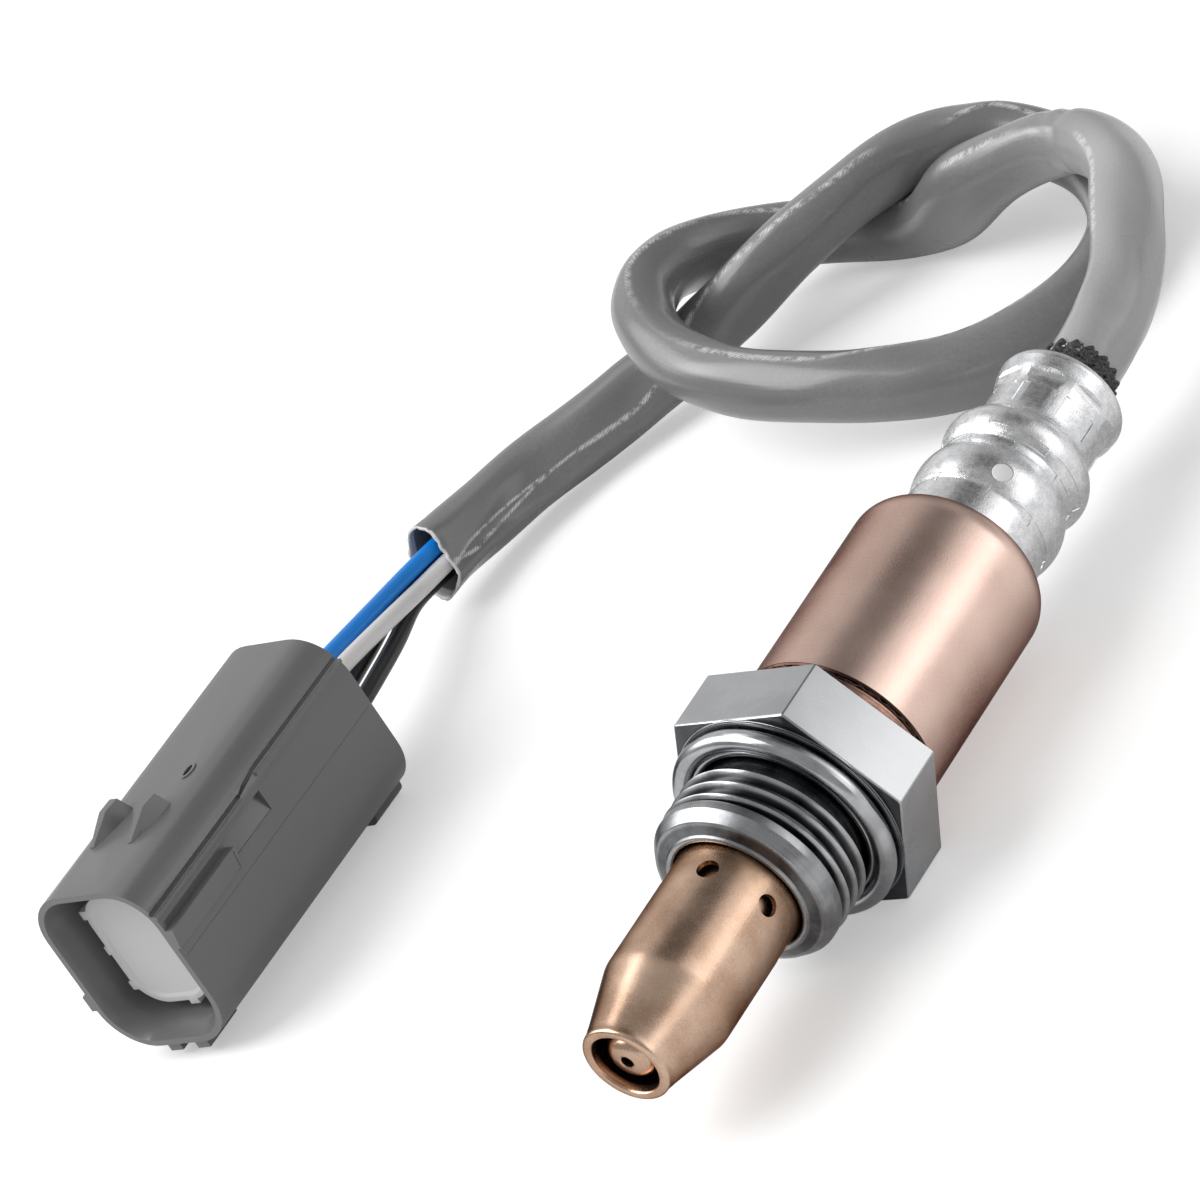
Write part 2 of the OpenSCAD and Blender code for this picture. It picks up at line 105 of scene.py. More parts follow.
# the sleeved lead: points from the axis at the hexagon's front face
print("lead")
leadRoute = {
    "points": [
        (0, 0.0465, 0), (0, 0.0575, 0), (0, 0.0685, 0), (-0.005, 0.0802, 0.0028), (-0.011, 0.0893, 0.0012),
        (-0.0211, 0.0956, 0.0016), (-0.033, 0.0934, -0.0004), (-0.0433, 0.0966, -0.0081),
        (-0.0566, 0.0977, -0.007), (-0.0652, 0.0928, -0.0031), (-0.068, 0.0845, 0.0015),
        (-0.065, 0.0745, 0.0035), (-0.057, 0.0675, 0.0015), (-0.0465, 0.0645, -0.001),
        (-0.035, 0.065, -0.003), (-0.024, 0.068, -0.006), (-0.0155, 0.0765, -0.007),
        (-0.015, 0.088, -0.0075),
        (-0.021, 0.0966, -0.0064), (-0.0312, 0.1039, -0.0055), (-0.044, 0.1017, 0.001),
        (-0.052, 0.0904, -0.0004), (-0.0574, 0.0852, -0.002), (-0.066, 0.0785, -0.006),
        (-0.0735, 0.0705, -0.007), (-0.08, 0.06, -0.007), (-0.0826, 0.0468, -0.0053),
        (-0.079, 0.0326, -0.0027),
    ],
    "perSpan": 24,
    "ringGap": 0.0008,
    "sides": 56,
    "roundRadius": 3.6,
    "wideHalf": 3.95,  # the pressed-flat section, half its width and half its height
    "thinHalf": 3.05,
    "turnLength": 23,  # once round the sleeve
    "wall": 0.45,
    "touchGap": 0.04,
    "floorGap": 0.05,
    "nearReach": 10,  # strands closer than this may touch
    "nearRings": 38,  # rings that belong to the same strand
    "dent": 0.17,
    "dentWaves": (0.31, 2.1, 0.13),  # along and round the sleeve, then a slower one along it
    "folds": [(43.5, 0.4), (45.6, 0.25)],  # distance along the lead, depth
    "foldReach": 0.7,
    "swells": [(62, 7, 1.1, 0), (215, 7, 0.8, 180)],  # distance along the lead, reach, height, turn
    # the last stretch is pressed broad: each face's turn from the front one, and how far out it lies
    "broadFaces": [(0, 2.6), (46, 3.45), (90, 4.05), (140, 3.3), (180, 2.6), (225, 3.2), (270, 3.4),
                   (287, 3.25)],
    "broadTurn": -63,
    "broadFrom": (236, 253),
    "broadPower": 14,  # how sharply the faces meet
    # the cut end: its length, how far it opens, what its wall loses, how much shorter it is than the line
    "endLength": 5,
    "endFlare": 0.06,
    "endThin": 0.45,
    "endShort": 0.9,
    "endSlant": 0.3,  # cut off askew, its lower side longer
    "endDown": (0.46, 0.89),  # that side, as shares of sideways and up
    "endMiddle": 3.3,
    "ragged": (0.16, 0.18),  # how uneven the first and the last edge are
    "innerShift": 1.2,  # the inner skin's pattern is moved along by this much
    # distance along the lead, turn of the crease away from straight up, how flat
    "press": [
        (0, -4, 0.1), (5, -10, 0.6), (9, -18, 0.95), (24, -30, 0.75), (38, -26, 0.8), (60, -24, 0.7),
        (80, -20, 0.7), (96, -18, 0.9), (104, -24, 1), (110, -8, 0.9), (130, 0, 0.6), (142, 2, 0.5),
        (153, -23, 0.5), (175, -15, 0.6), (206, 6, 0.8), (214, -45, 1), (222, -35, 1), (231, -19, 1),
        (239, -14, 0.9), (255, -85, 0.9), (264, -74, 1), (282, -89, 0.9),
    ],
}
plugPlace = {
    "middle": Vector((-0.0745, 0.0032, -0.0002)) + onAxis(0),
    "lean": math.radians(-2),
    "turn": math.radians(2.5),
}
plugMatrix = Matrix.Translation(plugPlace["middle"]) @ (
    Matrix.Rotation(plugPlace["turn"], 4, "Z") @ Matrix.Rotation(plugPlace["lean"], 4, "X"))


def splinePoint(points, index, t):
    weights = ((1 - t) ** 3, 3 * t ** 3 - 6 * t * t + 4, -3 * t ** 3 + 3 * t * t + 3 * t + 1, t ** 3)
    return sum((w / 6 * Vector(p) for w, p in zip(weights, points[index:index + 4])), Vector())


def smoothLine(points, perSpan):
    spans = len(points) - 3
    line = [splinePoint(points, i, k / perSpan) for i in range(spans) for k in range(perSpan)]
    return line + [splinePoint(points, spans - 1, 1)]


def evenLine(line, gap):
    # the same line with its points an even distance apart
    marks = [0]
    for a, b in zip(line, line[1:]):
        marks.append(marks[-1] + (b - a).length)
    count = max(2, round(marks[-1] / gap))
    result, span = [], 0
    for k in range(count + 1):
        want = marks[-1] * k / count
        while span < len(line) - 2 and marks[span + 1] < want:
            span += 1
        share = (want - marks[span]) / (marks[span + 1] - marks[span])
        result.append(line[span].lerp(line[span + 1], share))
    return result, marks[-1]


def headingAt(line, index):
    return (line[min(index + 1, len(line) - 1)] - line[max(index - 1, 0)]).normalized()


def pressedAt(table, distance):
    for (s0, turn0, flat0), (s1, turn1, flat1) in zip(table, table[1:]):
        if distance <= s1:
            t = min(1, max(0, (distance - s0) / (s1 - s0)))
            t = t * t * (3 - 2 * t)
            return turn0 + (turn1 - turn0) * t, flat0 + (flat1 - flat0) * t
    return table[-1][1:]


def sectionRadius(route, turn, flat):
    # distance from the middle in mm; turn 0 and half a turn are the two creases
    a, b = route["wideHalf"], route["thinHalf"]
    shift = (a * a / b - b) / 2
    lens = -shift * abs(math.sin(turn)) + math.sqrt((shift * math.sin(turn)) ** 2 + a * a)
    return route["roundRadius"] * (1 - flat) + lens * flat


def broadRadius(route, lean):
    reach = [max(0.0, math.cos(lean - math.radians(turn + route["broadTurn"]))) / away
             for turn, away in route["broadFaces"]]
    return sum(value ** route["broadPower"] for value in reach) ** (-1 / route["broadPower"])


def strandsNear(line, route):
    # for each ring, the rings of another strand that may touch it
    near = {}
    for i in range(0, len(line), 2):
        for j in range(i + route["nearRings"], len(line), 2):
            if (line[i] - line[j]).length < route["nearReach"] * mm:
                near.setdefault(i, []).append(j)
                near.setdefault(j, []).append(i)
    return near


def skinRadius(route, angle, lean, distance, flat, broad, tail):
    radius = sectionRadius(route, angle, flat)
    fast, round, slow = route["dentWaves"]
    dent = route["dent"] * math.sin(fast * distance + round * angle) * math.sin(slow * distance + angle)
    for where, depth in route["folds"]:
        dent -= depth * math.exp(-((distance - where - math.sin(angle)) / route["foldReach"]) ** 2)
    for where, reach, height, toward in route["swells"]:
        share = max(0.0, math.cos(lean - math.radians(toward))) ** 2
        radius += height * share * math.exp(-((distance - where) / reach) ** 2)
    if broad:
        radius += (broadRadius(route, lean) * (1 + route["endFlare"] * tail) - radius) * broad
    return radius + dent * flat


def sleeveSkin(route, line, length):
    # the points of the outer skin and then the inner one, ring by ring, and their places on the sleeve
    last, near = len(line) - 1, strandsNear(line, route)
    start, full = route["broadFrom"]
    vertices, places = [], []
    for layer in (0, 1):
        for i, middle in enumerate(line):
            along = headingAt(line, i)
            side = along.cross(straightUp).normalized()
            rise = side.cross(along)
            down = -(route["endDown"][0] * side + route["endDown"][1] * rise)
            distance = length / mm * i / last
            turn, flat = pressedAt(route["press"], distance)
            broad = min(1, max(0.0, (distance - start) / (full - start)))
            tail = max(0.0, 1 - (length / mm - distance) / route["endLength"])
            wall = route["wall"] * (1 - route["endThin"] * tail)
            for s in range(route["sides"]):
                angle = math.tau * s / route["sides"]
                lean = angle + math.radians(turn)
                radius = (skinRadius(route, angle, lean, distance, flat, broad, tail) - layer * wall) * mm
                spot = middle + radius * (math.cos(lean) * rise + math.sin(lean) * side)
                for j in near.get(i - i % 2, []):  # strands that touch press each other flat
                    apart = line[j] - middle
                    reach = apart.length / 2 - (route["touchGap"] / 2 + layer * route["wall"]) * mm
                    over = (spot - middle).dot(apart.normalized()) - reach
                    if over > 0:
                        spot -= over * apart.normalized()
                spot.z = max(spot.z, (route["floorGap"] + layer * route["wall"]) * mm)
                if i in (0, last):
                    spot += along * random.uniform(-1, 1) * route["ragged"][i > 0] * mm
                low = down.dot(spot - middle) - route["endMiddle"] * mm
                spot += along * (low * route["endSlant"] - route["endShort"] * mm) * tail
                vertices.append(spot)
                places.append((s / route["sides"], distance + route["innerShift"] * layer))
    return vertices, places


def sleeveFaces(sides, count):
    # both skins, then the rims that join them
    inner, last = count * sides, (count - 1) * sides
    faces = []
    for start in (0, inner):
        for ring in range(start, start + last, sides):
            for s in range(sides):
                a, b = ring + s, ring + (s + 1) % sides
                face = (a, b, b + sides, a + sides)
                faces.append(face[::-1] if start else face)
    for s in range(sides):
        a, b = s, (s + 1) % sides
        faces.append((b, a, inner + a, inner + b))
        faces.append((last + a, last + b, inner + last + b, inner + last + a))
    return faces


def sleeveMesh(route):
    rowPoints = [Vector(p) + onAxis(0) for p in route["points"]]
    line, length = evenLine(smoothLine(rowPoints, route["perSpan"]), route["ringGap"])
    vertices, places = sleeveSkin(route, line, length)
    mesh = bpy.data.meshes.new("leadSleeve")
    mesh.from_pydata(vertices, [], sleeveFaces(route["sides"], len(line)))
    layer = mesh.uv_layers.new(name="alongLead")
    for face in mesh.polygons:
        face.use_smooth = True
        for corner in face.loop_indices:
            u, v = places[mesh.loops[corner].vertex_index]
            if u == 0 and any(places[k][0] > 0.9 for k in face.vertices):
                u = 1.0
            layer.data[corner].uv = (u, v / route["turnLength"])
    mesh.update()
    return addObject("leadSleeve", mesh), line, length


leadSleeve, leadLine, leadLength = sleeveMesh(leadRoute)

# four wires from inside the sleeve's end to their seals in the connector
wirePlan = {
    "radius": 0.0009,
    "corners": {"wireBlue": (-1, 1), "wireWhite": (1, 1), "wireBlackA": (-1, -1), "wireBlackB": (1, -1)},
    "terminalSide": 0.00175,
    "terminalHeight": 0.0022,
    "bundleRadius": 0.0014,
    "bundleTurn": -50,
    "hiddenRings": (-28, -20, -12),  # rings of the sleeve that the wires run through, counted from its end
    "plugRear": 0.018,
    "sealSteps": (4, 0, -8, -15),  # mm behind the connector's rear
    "perSpan": 6,
    "pointGap": 0.0012,
}


def newCurve(name, thickness, fineness):
    curve = bpy.data.curves.new(name, "CURVE")
    curve.dimensions = "3D"
    curve.bevel_depth = thickness
    curve.bevel_resolution = fineness
    curve.use_fill_caps = True
    return curve


def wireCurve(name, corner, plan):
    x, z = corner
    out = headingAt(leadLine, len(leadLine) - 1)
    side = out.cross(straightUp).normalized()
    place = math.atan2(z, x) + math.radians(plan["bundleTurn"])
    spread = plan["bundleRadius"] * (math.sin(place) * side.cross(out) - math.cos(place) * side)
    start = leadLine[-1] + 0.2 * mm * out + spread
    seals = [plugMatrix @ Vector((plan["terminalSide"] * x, plan["plugRear"] + step * mm,
                                  plan["terminalHeight"] * z)) for step in plan["sealSteps"]]
    points = [leadLine[k] + spread for k in plan["hiddenRings"]]
    points += [start + step * mm * out for step in (-3, 0, 3)]
    points += [start.lerp(seals[0], share) for share in (0.4, 0.7)] + seals
    line, length = evenLine(smoothLine(points, plan["perSpan"]), plan["pointGap"])
    curve = newCurve(name, plan["radius"], 5)
    spline = curve.splines.new("POLY")
    spline.points.add(len(line) - 1)
    for point, place in zip(spline.points, line):
        point.co = (*place, 1)
    spline.use_smooth = True
    return addObject(name, curve), line, length


wires = {name: wireCurve(name, corner, wirePlan) for name, corner in wirePlan["corners"].items()}


# helpers for pieces shaped by hand
def onlyThis(piece):
    bpy.ops.object.select_all(action="DESELECT")
    piece.select_set(True)
    bpy.context.view_layer.objects.active = piece


def placeInMesh(piece):
    onlyThis(piece)
    bpy.ops.object.transform_apply(location=True, rotation=True, scale=True)


def newest(name):
    piece = bpy.context.object
    piece.name = piece.data.name = name
    return piece


def startEdit(piece):
    onlyThis(piece)
    bpy.ops.object.mode_set(mode="EDIT")


def endEdit():
    bpy.ops.object.mode_set(mode="OBJECT")


def endOutward():
    # every face turned outward before edit mode ends
    bpy.ops.mesh.select_all(action="SELECT")
    bpy.ops.mesh.normals_make_consistent(inside=False)
    endEdit()


def startPoint(name, place):
    # one loose point to extrude from
    bpy.context.tool_settings.mesh_select_mode = (True, False, False)
    bpy.ops.mesh.primitive_plane_add(size=mm, location=place)
    piece = newest(name)
    startEdit(piece)
    bpy.ops.mesh.merge(type="CENTER")
    return piece


def drawOutline(outline):
    for here, there in zip(outline, outline[1:]):
        step = ((there[0] - here[0]) * mm, (there[1] - here[1]) * mm, 0)
        bpy.ops.mesh.extrude_vertices_move(TRANSFORM_OT_translate={"value": step})


def arc(middle, radius, fromTurn, toTurn, count):
    turns = [math.radians(fromTurn + (toTurn - fromTurn) * k / count) for k in range(count + 1)]
    return [(middle[0] + radius * math.cos(t), middle[1] + radius * math.sin(t)) for t in turns]


def turnedPiece(name, outline, steps=96):
    # an outline of (radius, station) in mm, spun once round the sensor's axis
    piece = startPoint(name, (outline[0][0] * mm, hexFront + outline[0][1] * mm, axisHeight))
    drawOutline(outline + outline[:1])
    bpy.ops.mesh.select_all(action="SELECT")
    bpy.ops.mesh.spin(steps=steps, angle=math.tau, center=(0, 0, axisHeight), axis=(0, 1, 0))
    bpy.ops.mesh.select_all(action="SELECT")
    bpy.ops.mesh.remove_doubles(threshold=0.000002)
    endOutward()
    placeInMesh(piece)
    return piece


def markEdges(piece, wanted):
    # wanted gets an edge's middle and direction
    bpy.context.tool_settings.mesh_select_mode = (False, True, False)
    mesh = piece.data
    for part in (*mesh.polygons, *mesh.vertices):
        part.select = False
    for edge in mesh.edges:
        a, b = (mesh.vertices[i].co for i in edge.vertices)
        edge.select = bool(wanted((a + b) / 2, (b - a).normalized()))
    startEdit(piece)


def bevelWhere(piece, width, segments, wanted):
    markEdges(piece, wanted)
    bpy.ops.mesh.bevel(offset=width * mm, segments=segments, affect="EDGES")
    endEdit()


def markFaces(piece, wanted):
    # wanted gets a face's middle and normal
    bpy.context.tool_settings.mesh_select_mode = (False, False, True)
    mesh = piece.data
    for part in (*mesh.edges, *mesh.vertices):
        part.select = False
    for face in mesh.polygons:
        face.select = bool(wanted(face.center, face.normal))
    startEdit(piece)


def insetMarked(thickness, depth=0):
    bpy.ops.mesh.inset(thickness=thickness * mm, depth=depth * mm)


def applyChange(piece, change):
    onlyThis(piece)
    bpy.ops.object.modifier_apply(modifier=change.name)


def combine(piece, others, operation):
    for other in others:
        change = piece.modifiers.new("combine", "BOOLEAN")
        change.operation = operation
        change.solver = "EXACT"
        change.object = other
        applyChange(piece, change)
        bpy.data.objects.remove(other)


def roundEdges(piece, width, limit=40):
    change = piece.modifiers.new("round", "BEVEL")
    change.width = width * mm
    change.segments = 2
    change.limit_method = "ANGLE"
    change.angle_limit = math.radians(limit)
    applyChange(piece, change)


def block(name, low, high):
    # a box between two corners in mm
    middle = [(a + b) / 2 * mm for a, b in zip(low, high)]
    bpy.ops.mesh.primitive_cube_add(size=mm, location=middle)
    piece = newest(name)
    piece.scale = [b - a for a, b in zip(low, high)]
    placeInMesh(piece)
    return piece


def roundPin(name, radius, depth, place, turn=(0, 0, 0), sides=32, oval=(1, 1, 1)):
    bpy.ops.mesh.primitive_cylinder_add(vertices=sides, radius=radius * mm, depth=depth * mm,
                                        location=place, rotation=turn)
    pin = newest(name)
    pin.scale = oval
    placeInMesh(pin)
    return pin


def turnsRound(first, count):
    return [math.radians(first) + math.tau * k / count for k in range(count)]


def crossPins(name, hole, turns, sides=32):
    # pins that stand out from the axis at each of the turns
    radius, depth, station, reach = hole
    return [roundPin(name, radius, depth, onAxis(station) + outward(turn) * reach * mm,
                     (0, math.pi / 2 - turn, 0), sides) for turn in turns]


# shell: rolled lip, thread, washer face, hexagon and the band that the casing is welded to
print("shell")
shellSizes = {
    "acrossFlats": 22,
    "hexLength": 6.4,
    "hexInset": 2.6,
    "hexEdges": (10.2, 5.76),  # rounded: edges farther from the axis and in front of this station
    "hexRounding": 0.2,
    "outline": [
        *arc((6.58, -9.94), 0.36, 180, 318, 12), (6.98, -10.04), (7.85, -9.78),
        *arc((7.99, -9.42), 0.3, -72, -34, 4),
        (8.78, -8.79), (8.88, -8.6), (8.9, -8.45), (8.9, -7.8), (8.8, -7.66), (8.2, -7.6), (8.1, -7.5),
        (8.1, -3.6), (8.1, -0.3), (10.7, -0.3), (10.82, -0.25), (10.86, -0.15), (10.66, -0.11),
        (10.66, -0.07),
        (10.93, -0.06), (10.97, 0), (10.97, 0.4), (9.2, 0.5), (9.2, 8.45),
        (9.1, 8.57), (8.5, 8.6), (8.5, 12.4), (5.6, 12.4), (5.6, 11.4), (6.6, 11.4), (6.6, -2.0),
        (4.65, -2.0), (4.65, -6.1), (7.0, -6.1), (7.0, -7.25), (6.22, -7.25),
    ],
    "threadPitch": 1.5,
    "threadTurns": 3.45,
    "threadFrom": -8.12,
    "ringsPerTurn": 96,
    "fadeIn": (25, 65),  # rings of the ridge
    "fadeOut": (282, 325),
    "ridge": [(8.0, -0.7), (8.18, -0.56), (8.58, -0.28), (8.88, -0.1), (8.98, 0), (8.88, 0.1),
              (8.58, 0.28), (8.18, 0.56), (8.0, 0.7)],
}


def makeShell(sizes):
    shell = turnedPiece("shellBody", sizes["outline"], 120)
    length = sizes["hexLength"]
    corner = sizes["acrossFlats"] / 2 / math.cos(math.pi / 6)
    # turned so that its corners point sideways and a flat lies on the floor
    hexagon = roundPin("hexagon", corner, length, onAxis(length / 2), (math.pi / 2, math.pi / 6, 0), 6)
    markFaces(hexagon, lambda place, normal: abs(normal.y) > 0.9)
    insetMarked(sizes["hexInset"])
    bpy.ops.mesh.bridge_edge_loops()
    endOutward()
    reach, station = sizes["hexEdges"]
    bevelWhere(hexagon, sizes["hexRounding"], 3, lambda place, along: fromAxis(place).length > reach * mm
               and place.y < hexFront + station * mm)
    combine(shell, [hexagon], "UNION")
    return shell


def makeThread(sizes):
    core, start = (value * mm for value in sizes["ridge"][0])
    thread = startPoint("shellThread", onAxis(sizes["threadFrom"]))
    bpy.ops.transform.translate(value=(core, start, 0))
    drawOutline(sizes["ridge"])
    endEdit()
    wind = thread.modifiers.new("wind", "SCREW")
    wind.axis = "Y"
    wind.angle = math.tau * sizes["threadTurns"]
    wind.steps = wind.render_steps = round(sizes["ringsPerTurn"] * sizes["threadTurns"])
    wind.screw_offset = sizes["threadPitch"] * sizes["threadTurns"] * mm
    applyChange(thread, wind)
    placeInMesh(thread)
    # both ends of the ridge run out into the core
    vertices = thread.data.vertices
    rings = len(vertices) // len(sizes["ridge"])
    low, high = (pick(v.co.y for v in vertices) for pick in (min, max))
    start, full = sizes["fadeIn"]
    fall, end = sizes["fadeOut"]
    for vertex in vertices:
        along = (vertex.co.y - low) / (high - low) * rings
        fade = min(1, max(0.0, (along - start) / (full - start)), max(0.0, (end - along) / (end - fall)))
        out = fromAxis(vertex.co)
        reach = core + (out.length - core) * fade
        vertex.co = Vector((0, vertex.co.y, axisHeight)) + out / out.length * reach
    startEdit(thread)
    endOutward()
    return thread


shellBody = makeShell(shellSizes)
shellThread = makeThread(shellSizes)

# gasket: sheet folded round on itself, open toward the thread
print("gasket and weld")
gasketSizes = {
    "outline": [
        *arc((9.82, -1.28), 1.0, 90, -142, 26), (9.05, -1.4), *arc((8.62, -1.42), 0.42, -48, -270, 14),
    ],
}
gasketRing = turnedPiece("gasketRing", gasketSizes["outline"])
weldSizes = {
    "radius": 9.06,
    "station": 8.74,
    "thickness": 0.16,
    "waves": [(0.05, 37, 0), (0.04, 61, 1), (0.03, 13, 0)],  # height, count, shift
}


def makeWeld(sizes):
    bpy.ops.mesh.primitive_torus_add(
        location=onAxis(sizes["station"]), rotation=(math.pi / 2, 0, 0), major_radius=sizes["radius"] * mm,
        minor_radius=sizes["thickness"] * mm, major_segments=220, minor_segments=10)
    bead = newest("weldBead")
    placeInMesh(bead)
    for vertex in bead.data.vertices:
        turn = math.atan2(vertex.co.z - axisHeight, vertex.co.x)
        wave = sum(height * math.sin(count * turn + shift) for height, count, shift in sizes["waves"]) * mm
        vertex.co += outward(turn) * wave + Vector((0, 0.5 * wave, 0))
    return bead


weldBead = makeWeld(weldSizes)

# nose: punched outer tube with its rolled front rim, and the domed tube inside it
print("nose")
noseSizes = {
    "outer": [
        (6.9, -7.2), (6.0, -7.2), (6.0, -22.9), (5.98, -23.2), (5.93, -23.5), (5.84, -23.85), (4.4, -29.1),
        (4.32, -29.5), (4.2, -29.9), (4.16, -30.3), *arc((3.78, -30.42), 0.38, 0, -90, 5),
        (3.45, -30.8), *arc((3.45, -30.55), 0.25, -90, -180, 3), (3.2, -29.9), (3.75, -29.6),
        (3.95, -29.1), (5.5, -23.2), (5.5, -6.7), (6.9, -6.7),
    ],
    "inner": [
        (6.9, -6.7), (6.9, -6.2), (4.5, -6.2), (4.5, -20.4), (2.1, -25.4), (2.1, -29.0), (1.75, -29.6),
        (1.2, -29.9), (0.6, -30.0), (0.6, -30.32), (0.75, -30.4), (1.4, -30.28), (1.85, -30.06),
        (2.2, -29.72), (2.42, -29.3), (2.5, -28.9), (2.5, -25.5), (4.9, -20.6), (4.9, -6.7),
    ],
    "holes": 6,
    "firstHole": 9,  # in degrees from +X toward +Z
    "outerHole": (1.0, 4, -12.9, 5.6),  # radius, depth, station, distance from the axis
    "innerHole": (0.7, 3, -18.4, 4.7),
}


def makeNose(sizes):
    outer = turnedPiece("noseTube", sizes["outer"], 120)
    inner = turnedPiece("innerTube", sizes["inner"], 72)
    first, count = sizes["firstHole"], sizes["holes"]
    combine(outer, crossPins("gasHole", sizes["outerHole"], turnsRound(first, count)), "DIFFERENCE")
    # the inner tube's holes stand between the outer one's
    turns = turnsRound(first + 180 / count, count)
    combine(inner, crossPins("innerHole", sizes["innerHole"], turns), "DIFFERENCE")
    return outer, inner


noseTube, innerTube = makeNose(noseSizes)

# casing and the pressed cover behind it
print("casing and cover")
casingSizes = {
    "outline": [
        (8.55, 8.9), (9.22, 8.9), (9.35, 9.05), (9.35, 29.7), *arc((5.95, 29.7), 3.4, 0, 72, 14)[1:],
        (7.0, 32.1), *arc((5.95, 29.7), 2.6, 66, 0, 8)[1:],
    ],
}
casingShell = turnedPiece("casingShell", casingSizes["outline"], 128)
coverSizes = {
    "outline": [
        (6.3, 30.7), (7.9, 30.7), (7.9, 31.3), (6.9, 31.3), (6.9, 35.6), (6.9, 36.0), (6.86, 36.2),
        *arc((2.1, 38.7), 5.2, -27, 31, 14), (6.46, 41.7), (6.42, 42.0), (6.4, 42.3), (6.44, 42.55),
        *arc((4.38, 44.5), 2.8, -39, 56, 16), (5.74, 47.1), (5.64, 47.5), (5.6, 48.0), (5.6, 50.6),
        (5.63, 51.1), (5.75, 51.7), (5.93, 52.3), (6.08, 52.8), *arc((5.2, 53.8), 1.0, -25, 90, 9),
        (4.2, 54.8), *arc((4.2, 54.5), 0.3, 90, 180, 3)[1:], (3.9, 54.2), (5.2, 54.2), (5.45, 53.9),
        (5.5, 53.3), (5.35, 52.6), (5.0, 51.3), (5.0, 47.4), *arc((4.38, 44.5), 2.2, 60, -40, 8),
        (5.8, 42.4), (5.82, 41.8), *arc((2.1, 38.7), 4.6, 32, -28, 8), (6.3, 35.8),
    ],
    "steps": 192,
    "flats": 8,
    "firstFlat": 15,
    "flatRadius": 5.42,
    "flatSpan": (47.9, 52.6),
    "flatHalf": 1.8,
    "flatRunOut": ((0.5, 3), (1.1, 5)),  # rounding of a flat's front and rear edge, and its segments
    # stations from and to, first turn, count, the share of each that is pressed, depth
    "jawMarks": [
        (35.65, 36.6, 4, 8, 0.9, 0.09), (41.6, 42.55, 4, 8, 0.92, 0.07), (42.7, 43.6, 22, 6, 0.88, 0.07),
        (48.9, 50, -3, 8, 0.8, 0.08),
    ],
    "ventTurn": 42.6,
    "vent": (1.0, 5, 38.2, 7),  # radius, depth, station, distance from the axis
    "filter": (0.97, 0.5, 38.2, 6.95),
}


def pressMarks(piece, fromStation, toStation, first, count, share, depth):
    # shallow segments that the crimping jaws leave, with narrow ridges between them
    def wanted(place, normal):
        out, station = fromAxis(place), (place.y - hexFront) / mm
        if not fromStation < station < toStation or normal.dot(out) < 0.2 * out.length:
            return False
        turn = math.degrees(math.atan2(out.z, out.x)) - first
        return (turn * count / 360) % 1 < share
    markFaces(piece, wanted)
    insetMarked(0.05, -depth)
    endEdit()


def neckFlat(sizes, turn):
    near, span, half = sizes["flatRadius"], sizes["flatSpan"], sizes["flatHalf"]
    flat = block("neckFlat", (near, span[0], -half), (near + 2, span[1], half))
    for station, (width, segments) in zip(span, sizes["flatRunOut"]):
        bevelWhere(flat, width, segments, lambda place, along: place.x < (near + 0.1) * mm
                   and abs(along.z) > 0.9 and abs(place.y - station * mm) < 0.1 * mm)
    flat.data.transform(Matrix.Translation(onAxis(0)) @ Matrix.Rotation(-turn, 4, "Y"))
    return flat


def makeCover(sizes, ventTurns):
    cover = turnedPiece("coverShell", sizes["outline"], sizes["steps"])
    for marks in sizes["jawMarks"]:
        pressMarks(cover, *marks)
    flats = [neckFlat(sizes, turn) for turn in turnsRound(sizes["firstFlat"], sizes["flats"])]
    combine(cover, flats + crossPins("vent", sizes["vent"], ventTurns, 40), "DIFFERENCE")
    return cover


def makeFilter(sizes, ventTurns):
    # the white band behind the vents bulges a little into each hole
    swells = crossPins("ventFilter", sizes["filter"], ventTurns, 40)
    onlyThis(swells[0])
    swells[1].select_set(True)
    bpy.ops.object.join()
    roundEdges(swells[0], 0.08)
    return swells[0]


coverVents = turnsRound(coverSizes["ventTurn"], 2)
coverShell = makeCover(coverSizes, coverVents)
ventFilter = makeFilter(coverSizes, coverVents)

# braid that shows between the cover and the sleeve
print("braid")
braidPlan = {
    "radius": 3.5,
    "strands": 15,
    "thickness": 0.27,
    "span": (53.4, 58.4),
    "turn": 1.5,
    "steps": 27,
    "pairHalf": 0.0768,  # each band of the weave is a pair of yarns, this far from its middle in radians
    "wave": 0.17,
    "uneven": 0.03,
}


def makeBraid(plan):
    curve = newCurve("braidStrands", plan["thickness"] * mm, 2)
    low, high = plan["span"]
    for way in (-1, 1):
        for k in range(plan["strands"]):
            for side in (-plan["pairHalf"], plan["pairHalf"]):
                yarn = curve.splines.new("POLY")
                yarn.points.add(plan["steps"])
                for step, point in enumerate(yarn.points):
                    t = step / plan["steps"]
                    angle = math.tau * k / plan["strands"] + way * t * plan["turn"] + side
                    wave = plan["wave"] * math.sin(way * plan["strands"] * angle + math.pi * (way > 0))
                    radius = plan["radius"] + wave + random.uniform(-plan["uneven"], plan["uneven"])
                    point.co = (*(onAxis(low + (high - low) * t) + outward(angle) * radius * mm), 1)
    braid = addObject("braidStrands", curve)
    onlyThis(braid)
    bpy.ops.object.convert(target="MESH")
    return braid


braidStrands = makeBraid(braidPlan)

